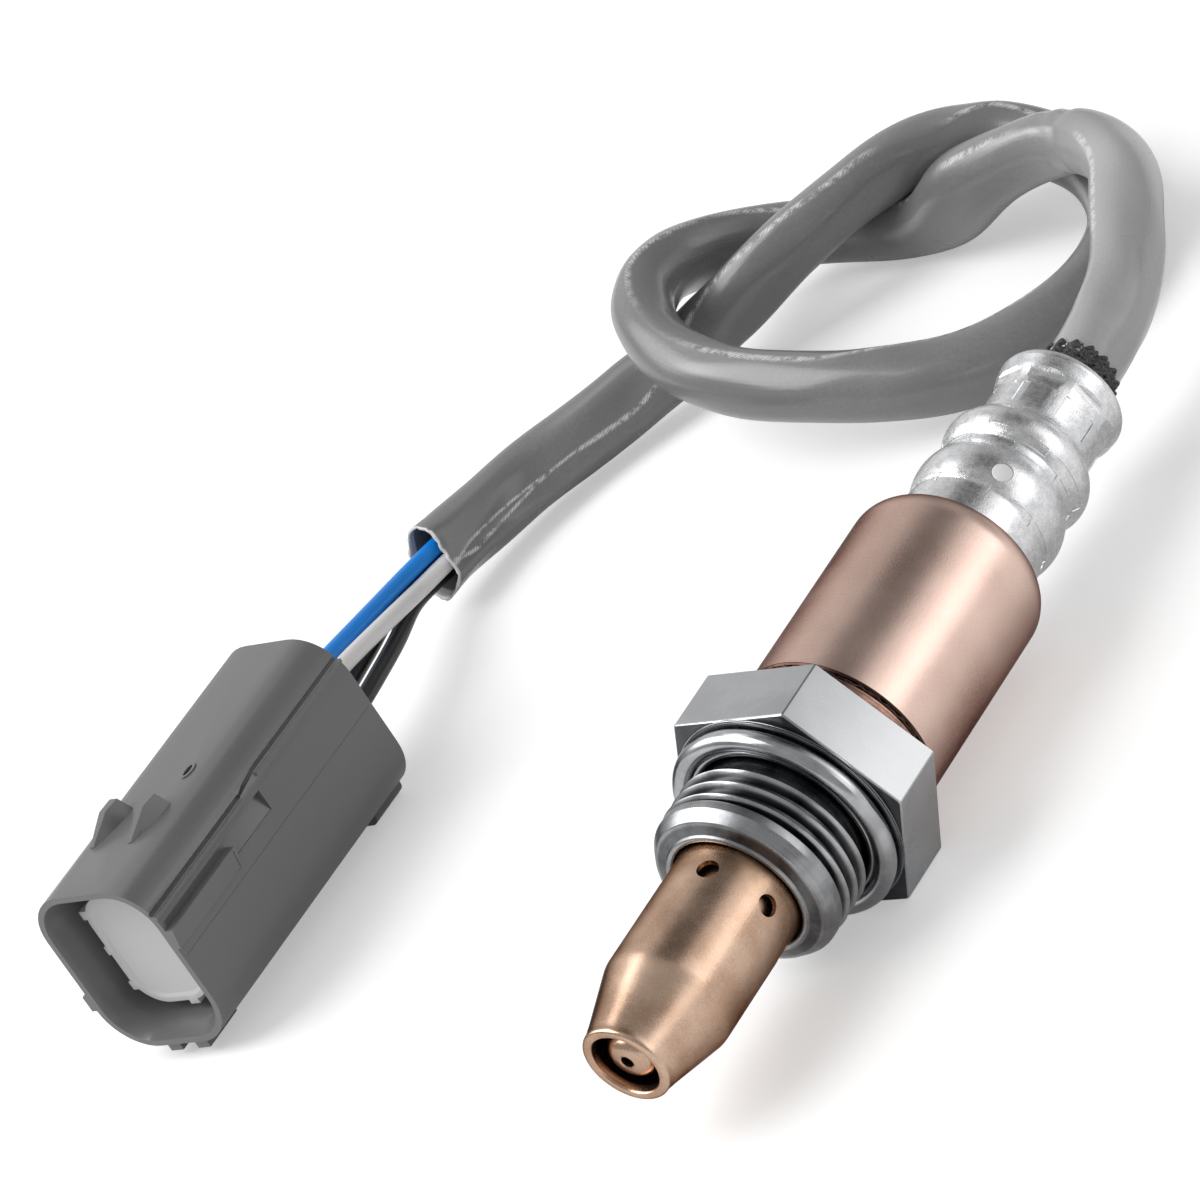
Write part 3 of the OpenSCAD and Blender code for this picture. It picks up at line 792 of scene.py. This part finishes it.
# connector, shaped in its own frame: mouth at -Y, then put in its place
print("connector")
plugSizes = {
    "width": 15.5,
    "height": 18.6,
    "length": 36,
    "corner": 5,
    "wall": 1.2,
    "rim": 0.65,  # the wall thins toward its rim
    "rimSlope": 1.2,  # over this depth
    "mouthDepth": 15,
    "insertWidth": 9.6,
    "insertHeight": 13.2,
    "insertSetback": 3,
    "insertCorner": 3.4,
    "sealBore": (1.55, 14),  # radius, depth
    # low and high corner of each, from the connector's middle
    "added": {
        "rib": ((-8.75, -17.7, -4.6), (-7.15, -6.7, -2.8)),
        "stubA": ((-2.7, -17.4, -10.5), (-1.1, -12.4, -8.5)),
        "stubB": ((0.9, -17.4, -10.5), (2.5, -12.4, -8.5)),
        "bead": ((7.05, -18, 5.4), (7.83, -1.6, 5.74)),
        "beadRear": ((7.05, 1.6, 5.88), (7.71, 18, 6.24)),
    },
    "rails": {
        "rail": ((7.25, -18, 1.8), (8.65, -6.4, 4.0)),
        "railEnd": ((7.25, -6.75, 1.5), (8.75, -6.4, 4.15)),
    },
    "railSlope": 0.4,  # how far the rail's lower edge stands out
    "foot": (9.4, 3, 1),  # width, height, corner
    "footLength": 5,
    "footHeight": 0.7,  # its middle above the housing's lowest point
    "grooveHalf": 0.2,
    "cuts": {
        "slot": ((7.45, -17.5, 4.0), (9.25, -6.2, 4.75)),
        "sideLine": ((7.72, -17.5, 0.6), (8.25, 17.5, 0.72)),
    },
    "recess": ((6.75, -6.4, 2.6), (9.25, 0.6, 4.9)),
    # the jogged groove: from and to along the side, place of its middle, lean in degrees
    "grooves": [(-19, -1.5, 7.33, 6.0, 0), (1.5, 19, 7.17, 6.5, 0), (-1.6, 1.6, 7.25, 6.25, 9)],
    "gateRim": (0.62, 1.12, 8.9, 9.4),  # half width, half length, from and to in height
    "gateMark": (0.32, 0.78, 8.5, 10.3),
    "lugs": (-2.4, 2.6),
    "insertLip": ((0.55, 0), (0.3, -0.25)),  # two insets of its face: width, depth
    "tabLength": 9,
    "tabs": [(-4.675, -4.2), (-4.675, 0.2), (-4.675, 4.6), (4.675, -4.6), (4.675, -0.2), (4.675, 4.2)],
    "tabHalf": (0.475, 0.5),
    "wideTabs": [(1.4, -6.6), (1.4, 6.6)],
    "wideTabHalf": (0.6, 0.5),
}
lugSizes = {
    "low": (-1, -11, 9.0),
    "high": (1, -5.4, 11.0),
    "split": -7.7,
    "crest": (9.42, 10.9),  # its height in front, and from the split back
    "overhang": 0.5,
    # left and right edge above, then below
    "front": (-0.75, -0.35, -0.95, 0.0),
    "middle": (-0.8, 0.05, -1.0, 0.95),
    "rear": (-0.7, 0.3, -1.0, 1.0),
}


def roundedBar(name, width, height, corner, low, high):
    bar = block(name, (-width / 2, low, -height / 2), (width / 2, high, height / 2))
    bevelWhere(bar, corner, 10, lambda place, along: abs(along.y) > 0.9)
    return bar


def latchLug(x, sizes):
    # narrow in front, widening as it climbs, with its ridge to the left
    low, high = sizes["low"], sizes["high"]
    lug = block("latchLug", (x + low[0], *low[1:]), (x + high[0], *high[1:]))
    startEdit(lug)
    bpy.ops.mesh.select_all(action="SELECT")
    bpy.ops.mesh.bisect(plane_co=(0, sizes["split"] * mm, 0), plane_no=(0, 1, 0))
    endEdit()
    for vertex in lug.data.vertices:
        part = "front" if vertex.co.y < -10 * mm else "middle" if vertex.co.y < -7 * mm else "rear"
        above = vertex.co.z > 10 * mm
        pick = (0 if above else 2) + (1 if vertex.co.x > x * mm else 0)
        vertex.co.x = (x + sizes[part][pick]) * mm
        if above:
            vertex.co.z = sizes["crest"][part != "front"] * mm
            vertex.co.y -= sizes["overhang"] * mm if part == "rear" else 0
    return lug


def grooveCut(half, start, end, x, z, lean):
    # a bar on its edge, so that the groove is V-shaped
    bar = block("groove", (-half, start, -half), (half, end, half))
    bar.data.transform(Matrix.Translation((x * mm, 0, z * mm)) @ Matrix.Rotation(math.radians(lean), 4, "X")
                       @ Matrix.Rotation(math.pi / 4, 4, "Y"))
    return bar


def gatePin(name, wide, long, low, high):
    place = Vector((2.7, -0.9, (low + high) / 2)) * mm
    return roundPin(name, 1, high - low, place, oval=(wide, long, 1))


def slopeLower(piece, side, inner, outer):
    # the lower corners between two distances from the middle move to the side's distance
    for vertex in piece.data.vertices:
        if inner * mm < vertex.co.x < outer * mm and vertex.co.z < 3 * mm:
            vertex.co.x = side * mm


def mouthFaces(piece):
    markFaces(piece, lambda place, normal: normal.y < -0.9)


def makeHousing(sizes):
    front, rear = -sizes["length"] / 2, sizes["length"] / 2
    side, top = sizes["width"] / 2, sizes["height"] / 2
    housing = roundedBar("plugHousing", sizes["width"], sizes["height"], sizes["corner"], front, rear)
    mouthFaces(housing)
    insetMarked(sizes["rim"])
    insetMarked(sizes["wall"] - sizes["rim"], -sizes["rimSlope"])
    inward = (0, (sizes["mouthDepth"] - sizes["rimSlope"]) * mm, 0)
    bpy.ops.mesh.extrude_region_move(TRANSFORM_OT_translate={"value": inward})
    endEdit()
    rail, railEnd = (block(name, *corners) for name, corners in sizes["rails"].items())
    for piece in (rail, railEnd):
        slopeLower(piece, side + sizes["railSlope"], side, math.inf)
    bevelWhere(railEnd, 0.5, 4, lambda place, along: place.x > (side + 0.3) * mm and abs(along.y) > 0.9)
    foot = roundedBar("foot", *sizes["foot"], rear - sizes["footLength"], rear)
    foot.data.transform(Matrix.Translation((0, 0, (sizes["footHeight"] - top) * mm)))
    added = [rail, railEnd, foot] + [block(name, *corners) for name, corners in sizes["added"].items()]
    added += [gatePin("gateRim", *sizes["gateRim"])] + [latchLug(x, lugSizes) for x in sizes["lugs"]]
    combine(housing, added, "UNION")
    recess = block("recess", *sizes["recess"])
    slopeLower(recess, side - 0.1, 0, side)
    cuts = [recess] + [block(name, *corners) for name, corners in sizes["cuts"].items()]
    cuts += [gatePin("gateMark", *sizes["gateMark"])]
    cuts += [grooveCut(sizes["grooveHalf"], *groove) for groove in sizes["grooves"]]
    for x, z in wirePlan["corners"].values():
        place = (wirePlan["terminalSide"] * x, (rear + 1) * mm, wirePlan["terminalHeight"] * z)
        cuts.append(roundPin("sealBore", *sizes["sealBore"], place, (math.pi / 2, 0, 0)))
    combine(housing, cuts, "DIFFERENCE")
    roundEdges(housing, 0.14, 38)
    return housing


def makeInsert(sizes):
    face = -sizes["length"] / 2 + sizes["insertSetback"]
    rear = -sizes["length"] / 2 + sizes["mouthDepth"]
    insert = roundedBar("plugInsert", sizes["insertWidth"], sizes["insertHeight"], sizes["insertCorner"],
                        face, rear)
    mouthFaces(insert)
    for thickness, depth in sizes["insertLip"]:
        insetMarked(thickness, depth)
    endEdit()
    tabEnd = face + sizes["tabLength"]
    for places, halves in (("tabs", "tabHalf"), ("wideTabs", "wideTabHalf")):
        wide, tall = sizes[halves]
        combine(insert, [block("tab", (x - wide, face, z - tall), (x + wide, tabEnd, z + tall))
                         for x, z in sizes[places]], "UNION")
    roundEdges(insert, 0.1, 38)
    return insert


plugHousing = makeHousing(plugSizes)
plugInsert = makeInsert(plugSizes)
for piece in (plugHousing, plugInsert):
    piece.data.transform(plugMatrix)

# the angle up to which each piece shades smooth
smoothLimits = [
    (shellBody, 16), (shellThread, 50), (gasketRing, 40), (weldBead, 60), (noseTube, 30), (innerTube, 30),
    (casingShell, 30), (coverShell, 28), (ventFilter, 40), (braidStrands, 60), (plugHousing, 30),
    (plugInsert, 30),
]
for piece, limit in smoothLimits:
    onlyThis(piece)
    bpy.ops.object.shade_smooth_by_angle(angle=math.radians(limit))

# effects that several finishes share
print("finishes")


def newGroup(name, **given):
    # every effect gives a colour, a roughness and a height
    group = bpy.data.node_groups.new(name, "ShaderNodeTree")
    for label, value in given.items():
        kind = "NodeSocketColor" if isinstance(value, tuple) else "NodeSocketFloat"
        group.interface.new_socket(label, in_out="INPUT", socket_type=kind).default_value = value
    for label, kind in (("colour", "NodeSocketColor"), ("roughness", "NodeSocketFloat"),
                        ("height", "NodeSocketFloat")):
        group.interface.new_socket(label, in_out="OUTPUT", socket_type=kind)
    return group, group.nodes.new("NodeGroupInput").outputs, group.nodes.new("NodeGroupOutput").inputs


def feed(tree, socket, value):
    if isinstance(value, bpy.types.NodeSocket):
        tree.links.new(value, socket)
    elif value is not None:
        socket.default_value = value


def calc(tree, operation, first, second=None, third=None, clamp=False):
    node = tree.nodes.new("ShaderNodeMath")
    node.operation = operation
    node.use_clamp = clamp
    for socket, value in zip(node.inputs, (first, second, third)):
        feed(tree, socket, value)
    return node.outputs[0]


def plus(tree, first, second, clamp=False):
    return calc(tree, "ADD", first, second, clamp=clamp)


def minus(tree, first, second):
    return calc(tree, "SUBTRACT", first, second)


def times(tree, first, second):
    return calc(tree, "MULTIPLY", first, second)


def between(tree, share, low, high):
    return calc(tree, "MULTIPLY_ADD", share, minus(tree, high, low), low)


def blend(tree, factor, first, second, kind="RGBA"):
    node = tree.nodes.new("ShaderNodeMix")
    node.data_type = kind
    low, out = (2, 0) if kind == "FLOAT" else (6, 2)  # a mix node has sockets for each kind of value
    for place, value in ((0, factor), (low, first), (low + 1, second)):
        feed(tree, node.inputs[place], value)
    return node.outputs[out]


def noise(tree, coordinate, scale, detail=2.0, rough=0.5):
    node = tree.nodes.new("ShaderNodeTexNoise")
    feed(tree, node.inputs["Vector"], coordinate)
    feed(tree, node.inputs["Scale"], scale)
    node.inputs["Detail"].default_value = detail
    node.inputs["Roughness"].default_value = rough
    return node.outputs["Fac"]


def ramp(tree, value, low, high, toLow=0.0, toHigh=1.0):
    node = tree.nodes.new("ShaderNodeMapRange")
    node.interpolation_type = "SMOOTHSTEP"
    feed(tree, node.inputs["Value"], value)
    for label, amount in (("From Min", low), ("From Max", high), ("To Min", toLow), ("To Max", toHigh)):
        feed(tree, node.inputs[label], amount)
    return node.outputs["Result"]

def stretched(tree, scale):
    mapping = tree.nodes.new("ShaderNodeMapping")
    mapping.inputs["Scale"].default_value = scale
    feed(tree, mapping.inputs["Vector"], tree.nodes.new("ShaderNodeTexCoord").outputs["Object"])
    return mapping.outputs["Vector"]


def endGroup(tree, out, *results):
    for socket, result in zip(out, results):
        feed(tree, socket, result)
    return tree


def metalGroup():
    # patches, fine grain and turning lines round the axis, for every sheet and turned piece
    tree, given, out = newGroup(
        "workedMetal", light=(0.6, 0.6, 0.6, 1), dark=(0.4, 0.4, 0.4, 1), patchSize=300.0, grainSize=6000.0,
        grainAmount=0.5, lineAmount=0.0, roughLow=0.25, roughHigh=0.4)
    place = stretched(tree, (1, 1, 1))
    lines = noise(tree, stretched(tree, (60, 9000, 60)), 1.0)
    patches = ramp(tree, noise(tree, place, given["patchSize"], 4.0, 0.6), 0.3, 0.7)
    grain = noise(tree, place, given["grainSize"], 2.0, 0.7)
    mixed = plus(tree, patches, times(tree, minus(tree, grain, 0.5), given["grainAmount"]))
    mixed = plus(tree, mixed, times(tree, minus(tree, lines, 0.5), given["lineAmount"]), clamp=True)
    rough = between(tree, mixed, given["roughLow"], given["roughHigh"])
    height = plus(tree, times(tree, grain, given["grainAmount"]), times(tree, lines, given["lineAmount"]))
    return endGroup(tree, out, blend(tree, mixed, given["dark"], given["light"]), rough, height)


def mouldedGroup():
    # the faint unevenness of a moulded surface
    tree, given, out = newGroup(
        "mouldedSurface", base=(0.1, 0.1, 0.1, 1), shift=0.08, size=120.0, roughLow=0.35, roughHigh=0.5)
    place = stretched(tree, (1, 1, 1))
    cloud = noise(tree, place, given["size"], 3.0)
    tint = tree.nodes.new("ShaderNodeVectorMath")
    tint.operation = "SCALE"
    feed(tree, tint.inputs[0], given["base"])
    level = calc(tree, "MULTIPLY_ADD", minus(tree, cloud, 0.5), given["shift"], 1.0)
    feed(tree, tint.inputs["Scale"], level)
    rough = between(tree, cloud, given["roughLow"], given["roughHigh"])
    return endGroup(tree, out, tint.outputs[0], rough, noise(tree, place, 5200.0))


def sleeveGroup():
    # diagonal weave under a coat, a painted highlight along the pressed creases, and the frayed end
    tree, given, out = newGroup(
        "coatedWeave", base=(0.2, 0.2, 0.2, 1), crease=(0.5, 0.5, 0.5, 1), weave=0.5, stitch=0.5, endAt=12.0)
    source = tree.nodes.new("ShaderNodeUVMap")
    source.uv_map = "alongLead"
    parts = tree.nodes.new("ShaderNodeSeparateXYZ")
    feed(tree, parts.inputs[0], source.outputs[0])
    around, along = parts.outputs[0], parts.outputs[1]
    diagonals = [calc(tree, "SINE", times(tree, part, math.tau * 26))
                 for part in (plus(tree, around, along), minus(tree, around, along))]
    weave = times(tree, times(tree, *diagonals), given["weave"])
    # distance from the nearer crease, as a share of the turn round the sleeve
    off = calc(tree, "PINGPONG", around, 0.5)
    off = calc(tree, "MINIMUM", off, minus(tree, 0.5, off))
    # toward the sleeve's end the painted highlight line opens into two close rows of dashes
    back = minus(tree, given["endAt"], along)
    apart = times(tree, ramp(tree, back, 0.05, 0.25), ramp(tree, back, 0.4, 0.85, 0.024, 0.0))
    opened = times(tree, ramp(tree, back, 0.05, 0.08), ramp(tree, back, 0.8, 1.1, 1.0, 0.0))
    far = ramp(tree, opened, 0.0, 1.0, 0.024, 0.014)
    near = calc(tree, "DIVIDE", calc(tree, "ABSOLUTE", minus(tree, off, apart)), far)
    near = ramp(tree, near, 0.1, 1.0, 1.0, 0.0)
    place = stretched(tree, (1, 1, 1))
    some = calc(tree, "MAXIMUM", opened, ramp(tree, noise(tree, place, 55.0, 1.0), 0.42, 0.56))
    broken = ramp(tree, noise(tree, place, 900.0, 3.0, 0.7), 0.35, 0.6)
    slanted = calc(tree, "MULTIPLY_ADD", around, 60.0, times(tree, along, 42.0))
    stripes = calc(tree, "SINE", times(tree, slanted, math.tau))
    stripes = calc(tree, "MULTIPLY_ADD", stripes, given["stitch"], minus(tree, 1.0, given["stitch"]))
    marks = times(tree, times(tree, near, some), times(tree, stripes, broken))
    frayed = ramp(tree, along, minus(tree, given["endAt"], 0.022), given["endAt"])
    cloud = noise(tree, place, 90.0, 3.0)
    speckle = noise(tree, place, 2600.0, 2.0, 0.7)
    # the crease marks are painted highlight; the frayed end is the lining's own pale colour
    tone = plus(tree, times(tree, calc(tree, "MAXIMUM", marks, frayed), 1.2),
                times(tree, minus(tree, cloud, 0.45), 0.2))
    # the lead's first stretch is lighter, fading out between 1.2 and 2.6 turns along it
    tone = plus(tree, tone, ramp(tree, along, 1.2, 2.6, 0.5, 0.0))
    tone = plus(tree, tone, times(tree, minus(tree, speckle, 0.5), 0.16), clamp=True)
    relief = plus(tree, plus(tree, times(tree, weave, 0.3), times(tree, speckle, 0.35)), marks)
    rough = calc(tree, "MULTIPLY_ADD", cloud, 0.3, 0.16)
    return endGroup(tree, out, blend(tree, tone, given["base"], given["crease"]), rough, relief)


# an effect's values in their order: light and dark colour, size of patches and grain, amount of grain and of
# turned lines, least and most roughness; then the strength of its relief and what else the shader is told
metal = {"Metallic": 1.0}
metalTable = {
    "shellSteel": ((196, 197, 199), (184, 185, 187), 160, 9000, 0.8, 0.2, 0.24, 0.3, 0.3, metal),
    "threadSteel": ((204, 205, 207), (172, 173, 176), 300, 6000, 0.5, 0.8, 0.17, 0.22, 0.25, metal),
    "weldSteel": ((104, 82, 74), (44, 34, 32), 900, 6000, 0.9, 0, 0.4, 0.6, 0.5, metal),
    "noseBronze": ((236, 204, 180), (198, 164, 140), 130, 6000, 1.1, 0.1, 0.24, 0.32, 0.35,
                   {**metal, "Specular Tint": shade(96, 78, 86)}),
    "casingRose": ((250, 220, 206), (228, 196, 182), 60, 6000, 1.3, 0.1, 0.26, 0.34, 0.5,
                   {**metal, "Specular Tint": shade(92, 70, 80)}),
    "coverSilver": ((250, 250, 251), (226, 227, 229), 1500, 6500, 1.8, 0.1, 0.22, 0.3, 0.5, metal),
    "contactMetal": ((220, 200, 150), (196, 172, 120), 300, 6000, 0.5, 0, 0.25, 0.4, 0.1, metal),
    "braidBlack": ((84, 83, 82), (14, 14, 15), 1500, 6000, 0.4, 0, 0.3, 0.5, 0.4, {}),
}
# colour, shift of its tone, size of the clouds, least and most roughness, relief, and the rest
mouldedTable = {
    "wireBlue": ((0, 140, 238), 0.08, 120, 0.3, 0.4, 0.05, {}),
    "wireWhite": ((240, 239, 238), 0.08, 120, 0.3, 0.4, 0.05, {}),
    "wireBlack": ((34, 34, 35), 0.08, 120, 0.28, 0.4, 0.05, {}),
    "plugGrey": ((110, 110, 111), 0.2, 60, 0.3, 0.42, 0.12, {"Coat Weight": 0.4, "Coat Roughness": 0.2}),
    "insertGrey": ((208, 208, 209), 0.08, 120, 0.36, 0.46, 0.1, {}),
    "ceramicWhite": ((232, 229, 222), 0.08, 120, 0.5, 0.65, 0.1, {}),
    "filterWhite": ((254, 254, 254), 0.08, 120, 0.6, 0.7, 0.1, {}),
    "sealRubber": ((52, 52, 53), 0.08, 120, 0.5, 0.65, 0.15, {}),
}
# colour, colour of the painted highlight on the creases, strength of weave and stitches, where the sleeve
# ends in turns, relief
sleeveTable = {
    "sleeveGrey": ((120, 120, 121), (218, 218, 218), 0.5, 0.3, leadLength / mm / leadRoute["turnLength"],
                   0.5, {"Coat Weight": 0.6, "Coat Roughness": 0.16}),
}


def useGroup(tree, group, values):
    effect = tree.nodes.new("ShaderNodeGroup")
    effect.node_tree = group
    for socket, value in zip(effect.inputs, values):
        socket.default_value = shade(*value) if isinstance(value, tuple) else value
    return effect.outputs


def mainShader(material):
    return next(node for node in material.node_tree.nodes if node.type == "BSDF_PRINCIPLED").inputs


def finishMaterial(name, group, row, bumpDepth=0.00002):
    *values, bump, others = row
    material = bpy.data.materials.new(name)
    material.use_nodes = True
    tree = material.node_tree
    shader, effect = mainShader(material), useGroup(tree, group, values)
    relief = tree.nodes.new("ShaderNodeBump")
    given = [(relief.inputs["Strength"], bump), (relief.inputs["Distance"], bumpDepth),
             (relief.inputs["Height"], effect["height"]), (shader["Base Color"], effect["colour"]),
             (shader["Roughness"], effect["roughness"]), (shader["Normal"], relief.outputs[0])]
    for socket, value in given:
        feed(tree, socket, value)
    for label, value in others.items():
        shader[label].default_value = value
    return material


workedMetal = metalGroup()
finishes = {name: finishMaterial(name, workedMetal, row) for name, row in metalTable.items()}
mouldedSurface = mouldedGroup()
finishes.update({name: finishMaterial(name, mouldedSurface, row) for name, row in mouldedTable.items()})
coatedWeave = sleeveGroup()
finishes.update({name: finishMaterial(name, coatedWeave, row, 0.00004) for name, row in sleeveTable.items()})


def placeParts(tree):
    parts = tree.nodes.new("ShaderNodeSeparateXYZ")
    feed(tree, parts.inputs[0], tree.nodes.new("ShaderNodeTexCoord").outputs["Object"])
    return parts.outputs


def tintWhere(material, mask, light, dark, lines):
    tree, colour = material.node_tree, mainShader(material)["Base Color"]
    effect = useGroup(tree, workedMetal, (light, dark, 300, 6000, 0.5, lines))
    feed(tree, colour, blend(tree, mask, colour.links[0].from_socket, effect["colour"]))


def stationMix(material, rise, fall, light, dark, lines):
    tree = material.node_tree
    station = placeParts(tree)[1]
    start, end = ([hexFront + value * mm for value in pair] for pair in (rise, fall))
    mask = times(tree, ramp(tree, station, *start), ramp(tree, station, *end, 1.0, 0.0))
    tintWhere(material, mask, light, dark, lines)


def paintGrooveShade(material, low, high, light, dark, lines):
    # whatever lies nearer the axis than the crests, such as a groove's floor, gets painted shade
    tree = material.node_tree
    side, _, height = placeParts(tree)
    rise = minus(tree, height, axisHeight)
    square = calc(tree, "MULTIPLY_ADD", side, side, times(tree, rise, rise))
    mask = ramp(tree, calc(tree, "SQRT", square), low * mm, high * mm, 1.0, 0.0)
    tintWhere(material, mask, light, dark, lines)


# a second tint between two stations along the sensor: where it comes in, where it goes, its light and dark
# colour, and its turned lines
stationTints = [
    ("shellSteel", (6.42, 6.6), (12, 13), (186, 150, 136), (112, 84, 74), 1.6),
    # the rolled lip in a darker steel than the hexagon: painted shade for its dark reflections
    ("shellSteel", (-12, -11), (-7.76, -7.7), (176, 177, 179), (140, 141, 144), 0.9),
    # a band on the lip's front face, darker still: painted shade
    ("shellSteel", (-10.12, -10.06), (-9.8, -9.74), (128, 129, 131), (84, 85, 87), 1.2),
    # the thread's core, its undercut and the washer face: painted shade in the hollow between lip and
    # hexagon
    ("shellSteel", (-7.76, -7.7), (-0.2, -0.14), (112, 113, 115), (70, 71, 73), 0.6),
    # the hexagon's front face: painted shade for the dark reflection of faces turned forward
    ("shellSteel", (-0.05, -0.03), (0.01, 0.04), (96, 97, 99), (80, 81, 83), 0.2),
    # the casing's front edge beside the weld: painted shade in place of its highlight
    ("casingRose", (8, 8.5), (9.08, 9.16), (96, 72, 64), (52, 38, 34), 0.4),
    # the outer tube next to the lip: painted shade from the lip
    ("noseBronze", (-15, -10.5), (-6, -5), (214, 178, 150), (172, 140, 114), 0.3),
]
for name, *tint in stationTints:
    stationMix(finishes[name], *tint)
# painted shade in the thread's grooves; the gasket shares this finish, so its inner edge gets it too
paintGrooveShade(finishes["threadSteel"], 8.45, 8.85, (92, 93, 95), (62, 63, 65), 0.4)

# each piece, its finish, a slot name, and the parts of the model that it stands for, which are hidden
pieceTable = [
    (shellBody, "shellSteel", "shell_steel", ("shell",)),
    (shellThread, "threadSteel", "shell_steel", ()),
    (weldBead, "weldSteel", "casing_steel", ()),
    (gasketRing, "threadSteel", "gasket_steel", ("gasket",)),
    (noseTube, "noseBronze", "nose_steel", ("outer_protector",)),
    (innerTube, "noseBronze", "nose_steel", ("inner_protector",)),
    (casingShell, "casingRose", "casing_steel", ("casing",)),
    (coverShell, "coverSilver", "cover_steel", ("crimp_cover",)),
    (ventFilter, "filterWhite", "ptfe", ()),
    (braidStrands, "braidBlack", "braid_fabric", ("braid",)),
    (leadSleeve, "sleeveGrey", "sleeve_grey", ("sleeve",)),
    (plugHousing, "plugGrey", "connector_grey", ("connector_housing",)),
    (plugInsert, "insertGrey", "insert_grey", ("connector_insert",)),
    (wires["wireBlue"][0], "wireBlue", "wire_blue", ("wire_blue",)),
    (wires["wireWhite"][0], "wireWhite", "wire_white", ("wire_white",)),
    (wires["wireBlackA"][0], "wireBlack", "wire_black", ("wire_black_a",)),
    (wires["wireBlackB"][0], "wireBlack", "wire_black", ("wire_black_b",)),
]
for piece, finish, slotName, nodes in pieceTable:
    piece.data.materials.clear()
    piece.data.materials.append(finishes[finish])
    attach(piece, "root")
    if nodes:
        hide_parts(*nodes)

slotFinish = {
    "shell_steel": "shellSteel", "cover_steel": "coverSilver", "contact_metal": "contactMetal",
    "ceramic": "ceramicWhite", "ptfe": "filterWhite", "seal_rubber": "sealRubber",
}
for part in frame["record"]["subparts"]:
    finish = slotFinish.get(part["material_slot"])
    node = frame["nodes"][part["node"]]
    if finish and part["node"] not in ("shell", "crimp_cover"):
        node.data.materials.clear()
        node.data.materials.append(finishes[finish])

# each of the four wires is unpacked into its curve, line and length, which nothing further uses
for name in wirePlan["corners"]:
    wire, line, length = wires[name]

# pale floor, soft room light and one soft lamp
print("studio")
studio = {
    "roomLevel": 0.45,
    "metalLevel": 0.36,  # what shiny surfaces see of the room, apart from the lobes
    # direction, half width in degrees, level
    "lobes": [
        ((-0.69, 0.57, 0.44), 32, 0.72),
        ((-0.31, 0.57, 0.76), 22, 0.55),
        ((0.73, 0.57, 0.38), 30, 0.96),
        ((0.80, 0.57, 0.08), 24, 1.9),
        ((0.97, 0.1, 0.17), 20, 1.5),
        ((-0.46, 0.2, 0.86), 15, 1.7),
        ((0.212, 0.57, 0.793), 28, 0.13),
        ((-0.8, -0.2, 0.55), 24, 2.6),
    ],
    "lampPlace": (-0.55, -0.45, 0.95),
    "lampAim": (-0.03, 0.01, 0.01),
    "lampSize": 0.9,
    "lampPower": 10.4,
    "floorColour": 0.76,
    "floorGlow": 0.4,  # lifts what the camera sees of the floor to white, and less of what metal sees
    "floorShine": 0.08,
}


def emptyTree(owner):
    owner.use_nodes = True
    owner.node_tree.nodes.clear()
    return owner.node_tree


def makeRoom(setup):
    world = bpy.data.worlds.new("studioRoom")
    bpy.context.scene.world = world
    tree = emptyTree(world)
    output = tree.nodes.new("ShaderNodeOutputWorld")
    direction = tree.nodes.new("ShaderNodeTexCoord").outputs["Generated"]
    level = setup["metalLevel"]
    for aim, width, amount in setup["lobes"]:
        toward = tree.nodes.new("ShaderNodeVectorMath")
        toward.operation = "DOT_PRODUCT"
        feed(tree, toward.inputs[0], direction)
        feed(tree, toward.inputs[1], Vector(aim).normalized())
        edge, core = (math.cos(math.radians(turn)) for turn in (width, width / 4))
        level = blend(tree, ramp(tree, toward.outputs["Value"], edge, core), level, amount, "FLOAT")
    rays = tree.nodes.new("ShaderNodeLightPath").outputs
    level = blend(tree, rays["Is Glossy Ray"], setup["roomLevel"], level, "FLOAT")
    level = blend(tree, rays["Is Camera Ray"], level, 1.0, "FLOAT")
    light = tree.nodes.new("ShaderNodeBackground")
    feed(tree, light.inputs["Strength"], level)
    feed(tree, light.inputs["Color"], (1, 1, 1, 1))
    feed(tree, output.inputs["Surface"], light.outputs[0])


def makeLamp(setup):
    lamp = bpy.data.lights.new("softLamp", "AREA")
    lamp.size = setup["lampSize"]
    lamp.energy = setup["lampPower"]
    holder = addObject("softLamp", lamp)
    holder.location = setup["lampPlace"]
    aim = Vector(setup["lampAim"]) - Vector(setup["lampPlace"])
    holder.rotation_mode = "QUATERNION"
    holder.rotation_quaternion = aim.to_track_quat("-Z", "Y")


def makeFloor(setup):
    bpy.ops.mesh.primitive_plane_add(size=5, location=(0, 0, -0.00005))
    floor = newest("paleFloor")
    placeInMesh(floor)
    material = bpy.data.materials.new("floorWhite")
    tree = emptyTree(material)
    output, matte, glow, both = (tree.nodes.new("ShaderNode" + kind) for kind in (
        "OutputMaterial", "BsdfDiffuse", "Emission", "AddShader"))
    rays = tree.nodes.new("ShaderNodeLightPath").outputs
    mirrored = calc(tree, "MAXIMUM", rays["Is Glossy Ray"], rays["Is Transmission Ray"])
    feed(tree, matte.inputs["Color"], (*[setup["floorColour"]] * 3, 1))
    feed(tree, glow.inputs["Strength"], calc(tree, "MULTIPLY_ADD", rays["Is Camera Ray"], setup["floorGlow"],
                                             times(tree, mirrored, setup["floorShine"])))
    feed(tree, both.inputs[0], matte.outputs[0])
    feed(tree, both.inputs[1], glow.outputs[0])
    feed(tree, output.inputs["Surface"], both.outputs[0])
    floor.data.materials.append(material)


makeRoom(studio)
makeLamp(studio)
makeFloor(studio)
